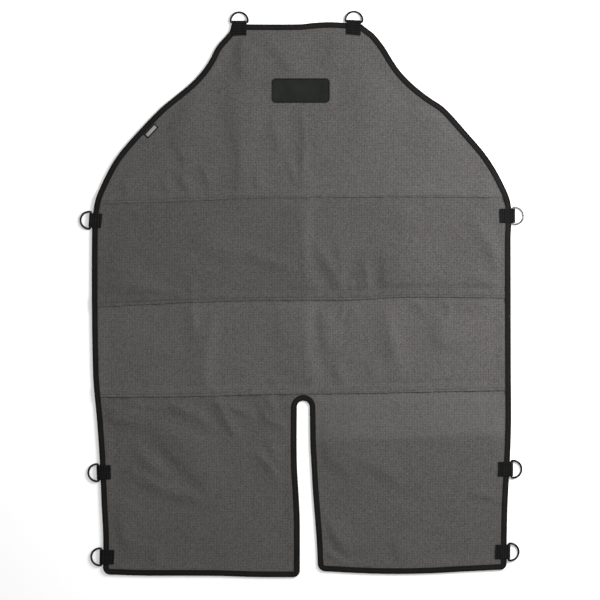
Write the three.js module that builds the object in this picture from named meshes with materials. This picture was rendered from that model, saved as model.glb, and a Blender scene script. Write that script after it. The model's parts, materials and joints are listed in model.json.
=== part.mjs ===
// A long work apron with split legs, lying face up on a floor: four lapped cloth panels, one folded
// binding tape round the whole outline and the leg split, eight webbing tabs with D-rings, a chest
// patch and a small side tag. Millimetres, +Z up, +Y towards the top of the bib.
import * as THREE from "three";

// Overall sizes of the cloth apron
const APRON_LENGTH = 1219;
const APRON_WIDTH = 920;

// Thicknesses, and the clearance between pieces that touch in use
const CLOTH = 1.5;
const TAPE = 0.8;
const WEBBING = 1.4;
const FIT = 0.3;

// The binding: how far the folded tape reaches over each face of the cloth
const TAPE_LEAF = 12.7;
// How rounded the cloth's corners are beyond the tape's own width
const CORNER_EASE = { leftOuter: 3, leftInner: 1.5, rightInner: 4.3, rightOuter: 1.5 };

// Seams: each panel laps over the one below it, whose hidden edge stops short of the lap's stitches
const LAP = 12;
const LAP_TUCK = 2;
const LAP_RAMP = 12;
// The tape steps up over a lap a little before and after the cloth does
const TAPE_STEP_BEFORE = 1;
const TAPE_STEP_AFTER = 5;

// The split between the legs
const SPLIT_GAP = 28.1;
const SPLIT_CENTRE = 0.0062;
const SPLIT_TO_SEAM = 0.9;

// Webbing tabs and D-rings
const WEBBING_WIDTH = 31.8;
const TAB_REACH = 24.7;
const RING_WIRE = 4.4;
const RING_SIDE_PLAY = 0.7;
const RING_DEPTH = 22.4;
const RING_BEND = 3;
const RING_STANDOFF = 1.8;

// Chest patch and side tag
const PATCH_WIDTH = 126;
const PATCH_HEIGHT = 53.5;
const PATCH_CORNER = 9;
const PATCH_THICKNESS = 1.8;
const PATCH_RIM = 3;
const PATCH_RECESS = 0.5;
const PATCH_CENTRE = { across: -0.0048, up: 0.8776 };
const TAG_LENGTH = 34;
const TAG_DEPTH = 13;
const TAG_THICKNESS = 0.6;
const TAG_CORNER = 1;
const TAG_UP = 0.816;

// Folds: the largest rise of the cloth from the floor and the widest half width of a fold
const FOLD_RISE = 5.5;
const FOLD_REACH = 44;

// How finely the cloth and the rings are faceted
const ROW_PITCH = 36;
const COLUMN_PITCH = 46;
const RIM_COLUMN = 26;
const TOP_ROW_DROP = 12;
const ARCH_STEPS = 8;
const CORNER_STEPS = 3;
const WIRE_SIDES = 8;
const RING_ARC_STEPS = 11;
const RING_BEND_STEPS = 2;

// The outline's sides from the hem up, as shares of the length and of the half width
const OUTLINE = [
  { up: 0.0, left: 0.952, right: 0.978 },
  { up: 0.067, left: 0.95, right: 0.979 },
  { up: 0.132, left: 0.958, right: 0.983 },
  { up: 0.218, left: 0.968, right: 0.995 },
  { up: 0.283, left: 0.98, right: 1.0 },
  { up: 0.37, left: 0.999, right: 0.999 },
  { up: 0.608, left: 1.004, right: 0.998 },
  { up: 0.673, left: 0.992, right: 0.998 },
  { up: 0.717, left: 0.947, right: 0.952 },
  { up: 0.76, left: 0.882, right: 0.883 },
  { up: 0.803, left: 0.785, right: 0.787 },
  { up: 0.847, left: 0.672, right: 0.68 },
  { up: 0.868, left: 0.604, right: 0.599 },
  { up: 0.89, left: 0.534, right: 0.527 },
  { up: 0.912, left: 0.479, right: 0.471 },
  { up: 0.933, left: 0.441, right: 0.432 },
  { up: 0.958, left: 0.406, right: 0.391 },
  { up: 0.98, left: 0.355, right: 0.344 },
  { up: 0.987, left: 0.343, right: 0.32 },
  { up: 0.997, left: 0.337, right: 0.285 },
];

// The bib's top edge, from left to right, as shares of its width and of the length
const TOP_EDGE = [
  { across: 0.0, up: 0.9973 },
  { across: 0.53, up: 0.9973 },
  { across: 0.63, up: 0.9998 },
  { across: 0.78, up: 1.0012 },
  { across: 1.0, up: 0.9973 },
];

// The three seams from left to right: shares of the width, and heights as shares of the length
const SEAMS = [
  { across: 0.0, waist: 0.6723, lap: 0.4864, legs: 0.324 },
  { across: 0.25, waist: 0.6786, lap: 0.4954, legs: 0.3258 },
  { across: 0.375, waist: 0.6831, lap: 0.4981, legs: 0.3288 },
  { across: 0.5, waist: 0.684, lap: 0.499, legs: 0.3294 },
  { across: 0.625, waist: 0.6849, lap: 0.4996, legs: 0.3312 },
  { across: 0.75, waist: 0.6858, lap: 0.5045, legs: 0.333 },
  { across: 1.0, waist: 0.684, lap: 0.5026, legs: 0.3366 },
];

// Each leg's hem from left to right: shares of the leg's width, and heights as shares of the length
const HEMS = [
  { across: 0.0, left: 0.0046, right: 0.0105 },
  { across: 0.2, left: 0.0027, right: 0.0073 },
  { across: 0.4, left: 0.0027, right: 0.0058 },
  { across: 0.6, left: 0.0022, right: 0.007 },
  { across: 0.8, left: 0.0002, right: 0.0103 },
  { across: 1.0, left: 0.0, right: 0.0133 },
];

// How far each side of the split drifts to the right of its place at the arch: shares of the
// split's height and of the half width
const SPLIT_DRIFT = [
  { up: 0.0, left: 0.0139, right: 0.0413 },
  { up: 0.22, left: 0.0143, right: 0.0331 },
  { up: 0.36, left: 0.0133, right: 0.0246 },
  { up: 0.5, left: 0.0076, right: 0.0154 },
  { up: 0.64, left: 0.0009, right: 0.0091 },
  { up: 0.78, left: -0.001, right: 0.003 },
  { up: 1.0, left: 0.0, right: 0.0 },
];

// Folds as ridges between two places: shares of the half width, of the length, of the largest rise
// and of the widest half width
const FOLDS = [
  { fromAcross: -0.01, fromUp: 0.84, toAcross: -0.01, toUp: 0.71, rise: 0.5, reach: 0.8 },
  { fromAcross: -0.31, fromUp: 0.95, toAcross: -0.31, toUp: 0.72, rise: 0.6, reach: 0.9 },
  { fromAcross: -0.24, fromUp: 0.97, toAcross: -0.03, toUp: 0.91, rise: 0.5, reach: 0.8 },
  { fromAcross: 0.02, fromUp: 0.66, toAcross: 0.02, toUp: 0.52, rise: 0.8, reach: 0.8 },
  { fromAcross: 0.02, fromUp: 0.48, toAcross: 0.02, toUp: 0.36, rise: 0.8, reach: 0.8 },
  { fromAcross: 0.06, fromUp: 0.65, toAcross: 0.2, toUp: 0.52, rise: 0.6, reach: 1.0 },
  { fromAcross: 0.56, fromUp: 0.58, toAcross: 0.86, toUp: 0.55, rise: 0.9, reach: 1.0 },
  { fromAcross: -0.8, fromUp: 0.55, toAcross: -0.56, toUp: 0.51, rise: 0.7, reach: 0.8 },
  { fromAcross: -0.41, fromUp: 0.47, toAcross: -0.45, toUp: 0.36, rise: 0.7, reach: 0.8 },
  { fromAcross: 0.39, fromUp: 0.48, toAcross: 0.47, toUp: 0.39, rise: 0.8, reach: 0.9 },
  { fromAcross: -0.91, fromUp: 0.3, toAcross: -0.08, toUp: 0.27, rise: 0.8, reach: 0.9 },
  { fromAcross: -0.78, fromUp: 0.22, toAcross: -0.45, toUp: 0.14, rise: 1.0, reach: 0.9 },
  { fromAcross: -0.22, fromUp: 0.25, toAcross: -0.09, toUp: 0.18, rise: 0.7, reach: 0.8 },
  { fromAcross: 0.16, fromUp: 0.25, toAcross: 0.93, toUp: 0.25, rise: 1.0, reach: 1.0 },
  { fromAcross: 0.11, fromUp: 0.08, toAcross: 0.2, toUp: 0.03, rise: 0.6, reach: 0.8 },
];
const RIM_FLAT = 27;
const PATCH_FLAT = 50;
const TAG_FLAT = 52;
const FLAT_FADE = 45;

// The eight tabs: a top tab lies `inFrom` the bib's corner, a waist tab `below` the waist seam, a
// hem tab `above` the hem and a thigh tab at its share of the length; `turn` is in degrees
const TABS = [
  { name: "top_left", edge: "top", end: "left", inFrom: 1.2, turn: 0 },
  { name: "top_right", edge: "top", end: "right", inFrom: 1.2, turn: -3 },
  { name: "waist_left", edge: "left", below: 19.4, turn: 0 },
  { name: "waist_right", edge: "right", below: 23.3, turn: 0 },
  { name: "thigh_left", edge: "left", up: 0.1887, turn: 0 },
  { name: "thigh_right", edge: "right", up: 0.1949, turn: 3 },
  { name: "hem_left", edge: "left", above: 23, turn: 0 },
  { name: "hem_right", edge: "right", above: 23.5, turn: 0 },
];

// Colours seen on the cloth, tape, metal and patch
const CLOTH_FINISH = { color: 0x5c5a58, roughness: 0.95, metalness: 0 };
const TAPE_FINISH = { color: 0x272524, roughness: 0.85, metalness: 0 };
const WEBBING_FINISH = { color: 0x1e1e1e, roughness: 0.9, metalness: 0 };
const BLACK_METAL = { color: 0x1a1a1c, roughness: 0.25, metalness: 1 };
const BRIGHT_METAL = { color: 0xb8bcc2, roughness: 0.22, metalness: 1 };
const PATCH_FINISH = { color: 0x262823, roughness: 0.6, metalness: 0 };
const TAG_FINISH = { color: 0x8d8c8a, roughness: 0.8, metalness: 0 };

// Heights that follow from the layers: floor, webbing, tape, cloth, tape, webbing
const LIFT = WEBBING + FIT + TAPE + FIT;
const CUT_INSET = TAPE + FIT;
const LAP_RISE = CLOTH + FIT;
const TAPE_TOP = LIFT + CLOTH + FIT + TAPE;
const LOOP_INNER = RING_WIRE / 2 + FIT;
const LOOP_OUTER = LOOP_INNER + WEBBING;
const BAR_OUT = RING_WIRE / 2 + RING_STANDOFF;
const RING_HALF = WEBBING_WIDTH / 2 + RING_SIDE_PLAY + RING_WIRE / 2;
const RING_TILT = Math.asin((LOOP_OUTER - RING_WIRE / 2) / RING_DEPTH);
const HALF_WIDTH = APRON_WIDTH / 2;
const SIDE_SIGN = { left: -1, right: 1 };

const lerp = THREE.MathUtils.lerp;
const even = (count) => Array.from({ length: count + 1 }, (_, i) => i / count);

// A smooth value between the rows of a table whose `by` column rises
function smoothValue(table, by, column, at) {
  const last = table.length - 1;
  const place = THREE.MathUtils.clamp(at, table[0][by], table[last][by]);
  const found = table.findIndex((row) => row[by] > place) - 1;
  const i = found < 0 ? last - 1 : found;
  const slope = (a, b) => (table[b][column] - table[a][column]) / (table[b][by] - table[a][by]);
  const width = table[i + 1][by] - table[i][by];
  const t = (place - table[i][by]) / width;
  const startSlope = slope(Math.max(i - 1, 0), i + 1) * width;
  const endSlope = slope(i, Math.min(i + 2, last)) * width;
  const a = table[i][column];
  const b = table[i + 1][column];
  return a + startSlope * t + (3 * (b - a) - 2 * startSlope - endSlope) * t ** 2
    + (2 * (a - b) + startSlope + endSlope) * t ** 3;
}

const sideX = (side, y) =>
  SIDE_SIGN[side] * HALF_WIDTH * smoothValue(OUTLINE, "up", side, y / APRON_LENGTH);
const seamY = (seam) => (share) => APRON_LENGTH * smoothValue(SEAMS, "across", seam, share);
const topY = (share) => APRON_LENGTH * smoothValue(TOP_EDGE, "across", "up", share);
const hemY = (leg) => (share) => APRON_LENGTH * smoothValue(HEMS, "across", leg, share);

// A station is a place on the apron's finished edge. Its way inwards is filled in once the whole
// edge is known, and `fixed` makes a place inside the cloth that stays where it is.
const station = (x, y) => ({ x, y, inward: null });
const fixed = (x, y) => ({ x, y, inward: { x: 0, y: 0 } });
const inset = (s, by) => ({ x: s.x + by * s.inward.x, y: s.y + by * s.inward.y });
const between = (a, b, t) => station(lerp(a.x, b.x, t), lerp(a.y, b.y, t));

// Shares across a row: the rim's column at each end and even ones between them
function columnShares(width, count) {
  const rim = Math.min(RIM_COLUMN / width, 1 / count);
  return [0, ...even(count - 2).map((t) => lerp(rim, 1 - rim, t)), 1];
}

const columnCount = (width) => Math.round((width - 2 * RIM_COLUMN) / COLUMN_PITCH) + 2;
const FULL_COLUMNS = columnCount(APRON_WIDTH);
const LEG_COLUMNS = columnCount(HALF_WIDTH);

// Rows of a panel from its lower seam up to the next edge: the lap, its ramp, then even rows
function panelRows(lower, upper, upperDrop) {
  const start = LAP + LAP_RAMP;
  const height = upper(0.5) - upperDrop - lower(0.5) - start;
  const rows = [0, LAP].map((up) => (share) => lower(share) + up);
  for (const t of even(Math.round(height / ROW_PITCH))) {
    rows.push((share) => lerp(lower(share) + start, upper(share) - upperDrop, t));
  }
  return rows;
}

const endsOf = (heights) =>
  heights.map((height) => ({
    height,
    left: station(sideX("left", height(0)), height(0)),
    right: station(sideX("right", height(1)), height(1)),
  }));

// The split: its sides, its round arch and the rounded corners of the two hems
const waistSeam = seamY("waist");
const lapSeam = seamY("lap");
const legSeam = seamY("legs");
const splitX = SPLIT_CENTRE * HALF_WIDTH;
const archRadius = SPLIT_GAP / 2;
const archBase = legSeam((1 + SPLIT_CENTRE) / 2) - SPLIT_TO_SEAM - TAPE_LEAF - archRadius;
const splitSideX = (leg, y) =>
  splitX + SIDE_SIGN[leg] * archRadius
    + HALF_WIDTH * smoothValue(SPLIT_DRIFT, "up", leg, y / archBase);

// One side of a leg, from the hem's corner up to the arch's foot
function legSide(edgeX, hem, ease, intoLeg) {
  const radius = TAPE_LEAF + ease;
  const top = hem + radius;
  const corner = even(CORNER_STEPS).map((t) => {
    const angle = (t * Math.PI) / 2;
    return station(
      edgeX(top) + intoLeg * radius * (1 - Math.sin(angle)),
      hem + radius * (1 - Math.cos(angle)),
    );
  });
  const rim = hem + RIM_COLUMN;
  const rows = even(Math.round((archBase - rim) / ROW_PITCH)).map((t) => lerp(rim, archBase, t));
  return [...corner, ...rows.map((y) => station(edgeX(y), y))];
}

const arch = even(ARCH_STEPS).map((t) => {
  const angle = t * Math.PI;
  return station(splitX + archRadius * Math.cos(angle), archBase + archRadius * Math.sin(angle));
});
const archFoot = { left: arch[ARCH_STEPS], right: arch[0] };

function makeLeg(leg) {
  const outerShare = leg === "left" ? 0 : 1;
  const hem = hemY(leg);
  const intoLeg = -SIDE_SIGN[leg];
  const outer = legSide((y) => sideX(leg, y), hem(outerShare), CORNER_EASE[`${leg}Outer`], intoLeg);
  const inner = legSide(
    (y) => splitSideX(leg, y), hem(1 - outerShare), CORNER_EASE[`${leg}Inner`], -intoLeg,
  );
  inner.splice(-1, 1, archFoot[leg]);
  const [start, end] = leg === "left" ? [outer[0], inner[0]] : [inner[0], outer[0]];
  const hemRow = columnShares(end.x - start.x, LEG_COLUMNS).map((share) => {
    const isEnd = share === 0 || share === 1;
    return isEnd ? (share ? end : start) : station(lerp(start.x, end.x, share), hem(share));
  });
  return { leg, hem, outer, inner, hemRow };
}

const legs = { left: makeLeg("left"), right: makeLeg("right") };

// Rows of the three upper panels, with the stations at their two ends
const bibRows = endsOf(panelRows(waistSeam, topY, TOP_ROW_DROP));
const waistRows = endsOf(panelRows(lapSeam, waistSeam, 0));
const lapRows = endsOf(panelRows(legSeam, lapSeam, 0));
waistRows[waistRows.length - 1] = bibRows[0];
lapRows[lapRows.length - 1] = waistRows[0];
const legTopRow = lapRows[0];
const archMidRow = endsOf([(share) => (archBase + legSeam(share)) / 2])[0];

const topLeft = station(sideX("left", topY(0)), topY(0));
const topRight = station(sideX("right", topY(1)), topY(1));
const topRow = columnShares(topRight.x - topLeft.x, FULL_COLUMNS).map((share) => {
  const isEnd = share === 0 || share === 1;
  return isEnd ? (share ? topRight : topLeft) : station(lerp(topLeft.x, topRight.x, share), topY(share));
});

// One side of the whole apron from its hem's corner to the bib's corner
function wholeSide(side) {
  const upper = [archMidRow, ...lapRows, ...waistRows.slice(1), ...bibRows.slice(1)];
  const found = [...legs[side].outer, ...upper.map((row) => row[side])];
  const share = side === "left" ? 0 : 1;
  const seams = [waistSeam, lapSeam, legSeam].map((seam) => seam(share));
  const steps = seams.flatMap((y) => [
    y - LAP_RAMP - TAPE_STEP_BEFORE, y - TAPE_STEP_BEFORE,
    y + LAP + TAPE_STEP_AFTER, y + LAP + TAPE_STEP_AFTER + LAP_RAMP,
  ]);
  for (const y of steps) {
    const after = found.findIndex((s) => s.y > y);
    const [a, b] = [found[after - 1], found[after]];
    found.splice(after, 0, between(a, b, (y - a.y) / (b.y - a.y)));
  }
  for (const s of found) {
    s.step = Math.max(...seams.map((y) => tapeStep(s.y - y)));
  }
  return found;
}

// How far the tape has stepped up over a lap, at a height above the lap's lower edge
function tapeStep(above) {
  const rising = (above + LAP_RAMP + TAPE_STEP_BEFORE) / LAP_RAMP;
  const falling = (LAP + TAPE_STEP_AFTER + LAP_RAMP - above) / LAP_RAMP;
  return THREE.MathUtils.clamp(Math.min(rising, falling), 0, 1);
}

// The whole edge, with the cloth always on the right hand
const edge = [
  ...wholeSide("left"),
  ...topRow,
  ...wholeSide("right").reverse(),
  ...legs.right.hemRow.slice().reverse().slice(1),
  ...legs.right.inner.slice(1),
  ...arch.slice(1),
  ...legs.left.inner.slice(0, -1).reverse(),
  ...legs.left.hemRow.slice(1, -1).reverse(),
];
edge.forEach((s, i) => {
  const before = edge[(i + edge.length - 1) % edge.length];
  const after = edge[(i + 1) % edge.length];
  const a = new THREE.Vector2(s.x - before.x, s.y - before.y).normalize();
  const b = new THREE.Vector2(after.x - s.x, after.y - s.y).normalize();
  const sum = new THREE.Vector2(a.y + b.y, -a.x - b.x);
  const scale = 2 / sum.lengthSq();
  s.inward = { x: sum.x * scale, y: sum.y * scale };
});

const distanceToSegment = (x, y, a, b) => {
  const length = Math.hypot(b.x - a.x, b.y - a.y) || 1;
  const along = ((x - a.x) * (b.x - a.x) + (y - a.y) * (b.y - a.y)) / length ** 2;
  const t = THREE.MathUtils.clamp(along, 0, 1);
  return Math.hypot(x - lerp(a.x, b.x, t), y - lerp(a.y, b.y, t));
};

// Where the patch and the tag lie
const patchX = PATCH_CENTRE.across * HALF_WIDTH;
const patchY = PATCH_CENTRE.up * APRON_LENGTH;
const besideTape = (y) => {
  const after = edge.findIndex((s) => s.y > y);
  const [a, b] = [edge[after - 1], edge[after]];
  const [from, to] = [a, b].map((s) => inset(s, TAPE_LEAF + 2 * FIT));
  return between(from, to, (y - a.y) / (b.y - a.y));
};
const tagEnds = [-1, 1].map((end) => besideTape(TAG_UP * APRON_LENGTH + (end * TAG_LENGTH) / 2));
const tagAngle = Math.atan2(tagEnds[1].y - tagEnds[0].y, tagEnds[1].x - tagEnds[0].x);
const tagMiddle = {
  x: (tagEnds[0].x + tagEnds[1].x) / 2 + (Math.sin(tagAngle) * TAG_DEPTH) / 2,
  y: (tagEnds[0].y + tagEnds[1].y) / 2 - (Math.cos(tagAngle) * TAG_DEPTH) / 2,
};

// How free the cloth is to leave its flat level: nothing at the edge, the laps, patch and tag
function freedom(x, y) {
  const share = (x / HALF_WIDTH + 1) / 2;
  const toEdge = Math.min(
    ...edge.map((s, i) => distanceToSegment(x, y, s, edge[(i + 1) % edge.length])),
  );
  const toSeam = Math.min(
    ...[waistSeam, lapSeam, legSeam].map((seam) => {
      const above = y - seam(share);
      return Math.max(-above, above - LAP, 0);
    }),
  );
  const toPatch = Math.hypot(
    Math.max(Math.abs(x - patchX) - PATCH_WIDTH / 2, 0),
    Math.max(Math.abs(y - patchY) - PATCH_HEIGHT / 2, 0),
  );
  const toTag = Math.hypot(x - tagMiddle.x, y - tagMiddle.y);
  const free = (distance, flat) => THREE.MathUtils.smoothstep(distance, flat, flat + FLAT_FADE);
  return Math.min(
    free(toEdge, RIM_FLAT), free(toSeam, 0), free(toPatch, PATCH_FLAT), free(toTag, TAG_FLAT),
  );
}

function foldHeight(x, y) {
  const rises = FOLDS.map((fold) => {
    const from = { x: fold.fromAcross * HALF_WIDTH, y: fold.fromUp * APRON_LENGTH };
    const to = { x: fold.toAcross * HALF_WIDTH, y: fold.toUp * APRON_LENGTH };
    const off = distanceToSegment(x, y, from, to) / (fold.reach * FOLD_REACH);
    return off < 1 ? fold.rise * FOLD_RISE * (1 - off ** 2) ** 2 : 0;
  });
  return Math.max(...rises);
}

// The cloth's underside: flat at its edges, sagging to the floor and folded where it is free
function clothZ(x, y) {
  const free = freedom(x, y);
  return LIFT * (1 - free) + foldHeight(x, y) * free;
}

// The points of one row of cloth between two ends, with the lap's rise
function clothRow(left, right, height, shares, rise) {
  const a = inset(left, CUT_INSET);
  const b = inset(right, CUT_INSET);
  return shares(b.x - a.x).map((share) => {
    const x = lerp(a.x, b.x, share);
    const y = height(share) + lerp(a.y - height(0), b.y - height(1), share);
    return new THREE.Vector3(x, y, clothZ(x, y) + rise);
  });
}

const edgeRow = (stations) =>
  stations.map((s) => {
    const p = inset(s, CUT_INSET);
    return new THREE.Vector3(p.x, p.y, LIFT);
  });

// A solid from triangles, turned so that its faces point outwards
function solid(points, triangles) {
  const volume = triangles.reduce((sum, [a, b, c]) => {
    const cross = new THREE.Vector3().crossVectors(points[b], points[c]);
    return sum + points[a].dot(cross);
  }, 0);
  const turned = volume < 0 ? triangles.map(([a, b, c]) => [a, c, b]) : triangles;
  const geometry = new THREE.BufferGeometry().setFromPoints(points);
  geometry.setIndex(turned.flat());
  geometry.computeVertexNormals();
  return geometry;
}

// Cloth of one thickness over a grid of cells: both faces, and a wall along every open side
function sheetSolid(cells, thickness) {
  const points = [];
  const seen = new Map();
  const indexOf = (p) => {
    const key = [p.x, p.y].map((v) => v.toFixed(3)).join();
    if (!seen.has(key)) {
      seen.set(key, points.length);
      points.push(p);
    }
    return seen.get(key);
  };
  const faces = cells.map((cell) => cell.map(indexOf));
  const count = points.length;
  const all = [...points, ...points.map((p) => p.clone().setZ(p.z + thickness))];
  const sides = new Map();
  for (const face of faces) {
    face.forEach((a, i) => {
      const b = face[(i + 1) % face.length];
      const back = `${b},${a}`;
      if (!sides.delete(back)) {
        sides.set(`${a},${b}`, [a, b]);
      }
    });
  }
  const triangles = faces.flatMap(([a, b, c, d]) => [
    [a, c, b], [a, d, c],
    [a + count, b + count, c + count], [a + count, c + count, d + count],
  ]);
  for (const [a, b] of sides.values()) {
    triangles.push([a, b, b + count], [a, b + count, a + count]);
  }
  return solid(all, triangles);
}

const cellsOf = (rows) =>
  rows.slice(1).flatMap((row, j) =>
    row.slice(1).map((p, i) => [rows[j][i], rows[j][i + 1], p, row[i]]),
  );

// A solid through a closed ring of sections, each a closed loop of as many points
function ringLoft(sections) {
  const size = sections[0].length;
  const triangles = [];
  sections.forEach((_, j) => {
    const next = (j + 1) % sections.length;
    for (let i = 0; i < size; i += 1) {
      const k = (i + 1) % size;
      const [a, b, c, d] = [j * size + i, j * size + k, next * size + k, next * size + i];
      triangles.push([a, b, c], [a, c, d]);
    }
  });
  return solid(sections.flat(), triangles);
}

// A solid through a stack of loops, closed at both ends by fans
function stackLoft(loops) {
  const size = loops[0].length;
  const points = loops.flat();
  const triangles = [];
  loops.slice(1).forEach((_, j) => {
    for (let i = 0; i < size; i += 1) {
      const k = (i + 1) % size;
      const [a, b, c, d] = [j * size + i, j * size + k, (j + 1) * size + k, (j + 1) * size + i];
      triangles.push([a, b, c], [a, c, d]);
    }
  });
  [0, loops.length - 1].forEach((j) => {
    const middle = new THREE.Vector3();
    loops[j].forEach((p) => middle.addScaledVector(p, 1 / size));
    points.push(middle);
    for (let i = 0; i < size; i += 1) {
      const [a, b] = [j * size + i, j * size + ((i + 1) % size)];
      triangles.push(j ? [a, b, points.length - 1] : [b, a, points.length - 1]);
    }
  });
  return solid(points, triangles);
}

// A rounded rectangle's corner points at one height, centred on the origin
function roundedLoop(width, height, radius, z) {
  return [0, 1, 2, 3].flatMap((corner) =>
    even(CORNER_STEPS).map((t) => {
      const angle = ((corner + t) * Math.PI) / 2;
      const right = corner === 0 || corner === 3 ? 1 : -1;
      const up = corner < 2 ? 1 : -1;
      return new THREE.Vector3(
        right * (width / 2 - radius) + radius * Math.cos(angle),
        up * (height / 2 - radius) + radius * Math.sin(angle),
        z,
      );
    }),
  );
}

const group = new THREE.Group();

function addMesh(name, geometry, finish, parent = group) {
  const mesh = new THREE.Mesh(geometry, new THREE.MeshStandardMaterial(finish));
  mesh.name = name;
  parent.add(mesh);
  return mesh;
}

// An upper panel: its own rows and the hidden strip that tucks under the panel above
function addPanel(name, rows, shares, above) {
  const cloth = rows.map((row, j) =>
    clothRow(row.left, row.right, row.height, shares, j < 2 ? LAP_RISE : 0),
  );
  cloth.push(above(shares));
  addMesh(name, sheetSolid(cellsOf(cloth), CLOTH), CLOTH_FINISH);
}

// The hidden edge of the panel below a seam, between the seam's station and the lap's
function tuckedRow(rows, shares) {
  const t = (LAP - LAP_TUCK) / LAP;
  const end = (side) => {
    const [a, b] = [rows[0][side], rows[1][side]].map((s) => inset(s, CUT_INSET));
    return fixed(lerp(a.x, b.x, t), lerp(a.y, b.y, t));
  };
  const height = (share) => lerp(rows[0].height(share), rows[1].height(share), t);
  return clothRow(end("left"), end("right"), height, shares, 0);
}

const fullShares = (width) => columnShares(width, FULL_COLUMNS);
addPanel("bib_panel", bibRows, fullShares, () => edgeRow(topRow));
addPanel("waist_panel", waistRows, fullShares, (shares) => tuckedRow(bibRows, shares));
addPanel("lap_panel", lapRows, fullShares, (shares) => tuckedRow(waistRows, shares));

// The leg panel: a block for each leg and a fan of cells over the split's arch
function addLegPanel() {
  const archCut = arch.map((s) => inset(s, CUT_INSET)).reverse();
  const tucked = tuckedRow(lapRows, () => [0, 1]);
  const topHeight = (x) => legSeam((x / HALF_WIDTH + 1) / 2);
  const tuck = LAP - LAP_TUCK;
  const flat = (x, y) => new THREE.Vector3(x, y, LIFT);
  const span = [archCut[0].x, archCut[ARCH_STEPS].x];
  const fan = [
    archCut.map((p) => flat(p.x, p.y)),
    ...[[0.5, 0], [0, 0], [0, tuck]].map(([down, up]) =>
      archCut.map((p, i) => {
        const x = lerp(span[0], span[1], i / ARCH_STEPS);
        return flat(lerp(x, p.x, down), lerp(topHeight(x), p.y, down) + up);
      }),
    ),
  ];
  const cells = cellsOf(fan);
  for (const { leg, hem, outer, inner, hemRow } of Object.values(legs)) {
    const isLeft = leg === "left";
    const shares = (width) => columnShares(width, LEG_COLUMNS);
    const rows = [edgeRow(hemRow)];
    outer.slice(1).forEach((s, j) => {
      const [a, b] = isLeft ? [s, inner[j + 1]] : [inner[j + 1], s];
      const fade = 1 - (j + 1) / (outer.length - 1);
      const bow = (share) => hem(share) - lerp(hem(0), hem(1), share);
      rows.push(clothRow(a, b, (share) => lerp(a.y, b.y, share) + fade * bow(share), shares, 0));
    });
    const outerEnds = [archMidRow[leg], legTopRow[leg], tucked[isLeft ? 0 : 1]];
    fan.slice(1).forEach((row, k) => {
      const inside = fixed(row[isLeft ? 0 : ARCH_STEPS].x, row[isLeft ? 0 : ARCH_STEPS].y);
      const outside = k < 2 ? outerEnds[k] : fixed(outerEnds[k].x, outerEnds[k].y);
      const [a, b] = isLeft ? [outside, inside] : [inside, outside];
      const line = (x) => (k === 0 ? (archBase + topHeight(x)) / 2 : topHeight(x) + (k - 1) * tuck);
      rows.push(clothRow(a, b, (share) => line(lerp(a.x, b.x, share)), shares, 0));
    });
    cells.push(...cellsOf(rows));
  }
  addMesh("leg_panel", sheetSolid(cells, CLOTH), CLOTH_FINISH);
}
addLegPanel();

// The binding: a tape folded over the cloth's edge, one section at each station
function tapeSection(s) {
  const top = LIFT + CLOTH + FIT + (s.step ?? 0) * LAP_RISE;
  const bottom = LIFT - FIT;
  const middle = (top + bottom) / 2;
  const half = (top - bottom) / 2;
  const round = TAPE * 1.5;
  return [
    [TAPE_LEAF, top], [TAPE_LEAF, top + TAPE], [round, top + TAPE], [0, middle + half * 0.85],
    [0, middle - half * 0.85], [round, bottom - TAPE], [TAPE_LEAF, bottom - TAPE],
    [TAPE_LEAF, bottom], [TAPE, bottom], [TAPE, top],
  ].map(([into, z]) => {
    const p = inset(s, into);
    return new THREE.Vector3(p.x, p.y, z);
  });
}
addMesh("edge_binding", ringLoft(edge.map(tapeSection)), TAPE_FINISH);

// A D-ring round its bar: +X is away from the apron and the bar lies along Y
function ringGeometry() {
  const bends = even(RING_BEND_STEPS).map((t) => (t * Math.PI) / 2);
  const bowCentre = RING_DEPTH - RING_HALF;
  const path = [
    ...bends.map((a) => ({
      x: RING_BEND * (1 - Math.cos(a)),
      y: RING_HALF - RING_BEND * (1 - Math.sin(a)),
      out: Math.PI - a,
    })),
    ...even(RING_ARC_STEPS).map((t) => {
      const out = Math.PI / 2 - t * Math.PI;
      return { x: bowCentre + RING_HALF * Math.cos(out), y: RING_HALF * Math.sin(out), out };
    }),
    ...bends.map((a) => ({
      x: RING_BEND * (1 - Math.sin(a)),
      y: -RING_HALF + RING_BEND * (1 - Math.cos(a)),
      out: -Math.PI / 2 - a,
    })),
  ];
  const sections = path.map(({ x, y, out }) =>
    even(WIRE_SIDES).slice(1).map((t) => {
      const angle = (t + 0.5 / WIRE_SIDES) * 2 * Math.PI;
      const off = (RING_WIRE / 2) * Math.cos(angle);
      return new THREE.Vector3(
        x + off * Math.cos(out), y + off * Math.sin(out), (RING_WIRE / 2) * Math.sin(angle),
      );
    }),
  );
  return ringLoft(sections);
}

// A tab's webbing: from the cloth's face, over the edge, round the ring's bar and back underneath
function tabGeometry() {
  const above = TAPE_TOP + FIT;
  const quarter = Math.PI / 2;
  const shape = new THREE.Shape();
  shape.moveTo(-TAB_REACH, above + WEBBING);
  shape.lineTo(0, above + WEBBING);
  shape.absarc(BAR_OUT, LOOP_OUTER, LOOP_OUTER, quarter, -quarter, true);
  shape.lineTo(-TAB_REACH, 0);
  shape.lineTo(-TAB_REACH, WEBBING);
  shape.absarc(BAR_OUT, LOOP_OUTER, LOOP_INNER, -quarter, quarter, false);
  shape.lineTo(0, above);
  shape.lineTo(-TAB_REACH, above);
  const settings = { depth: WEBBING_WIDTH, bevelEnabled: false, curveSegments: CORNER_STEPS * 2 };
  const geometry = new THREE.ExtrudeGeometry(shape, settings);
  return geometry.rotateX(quarter).translate(0, WEBBING_WIDTH / 2, 0);
}

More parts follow.
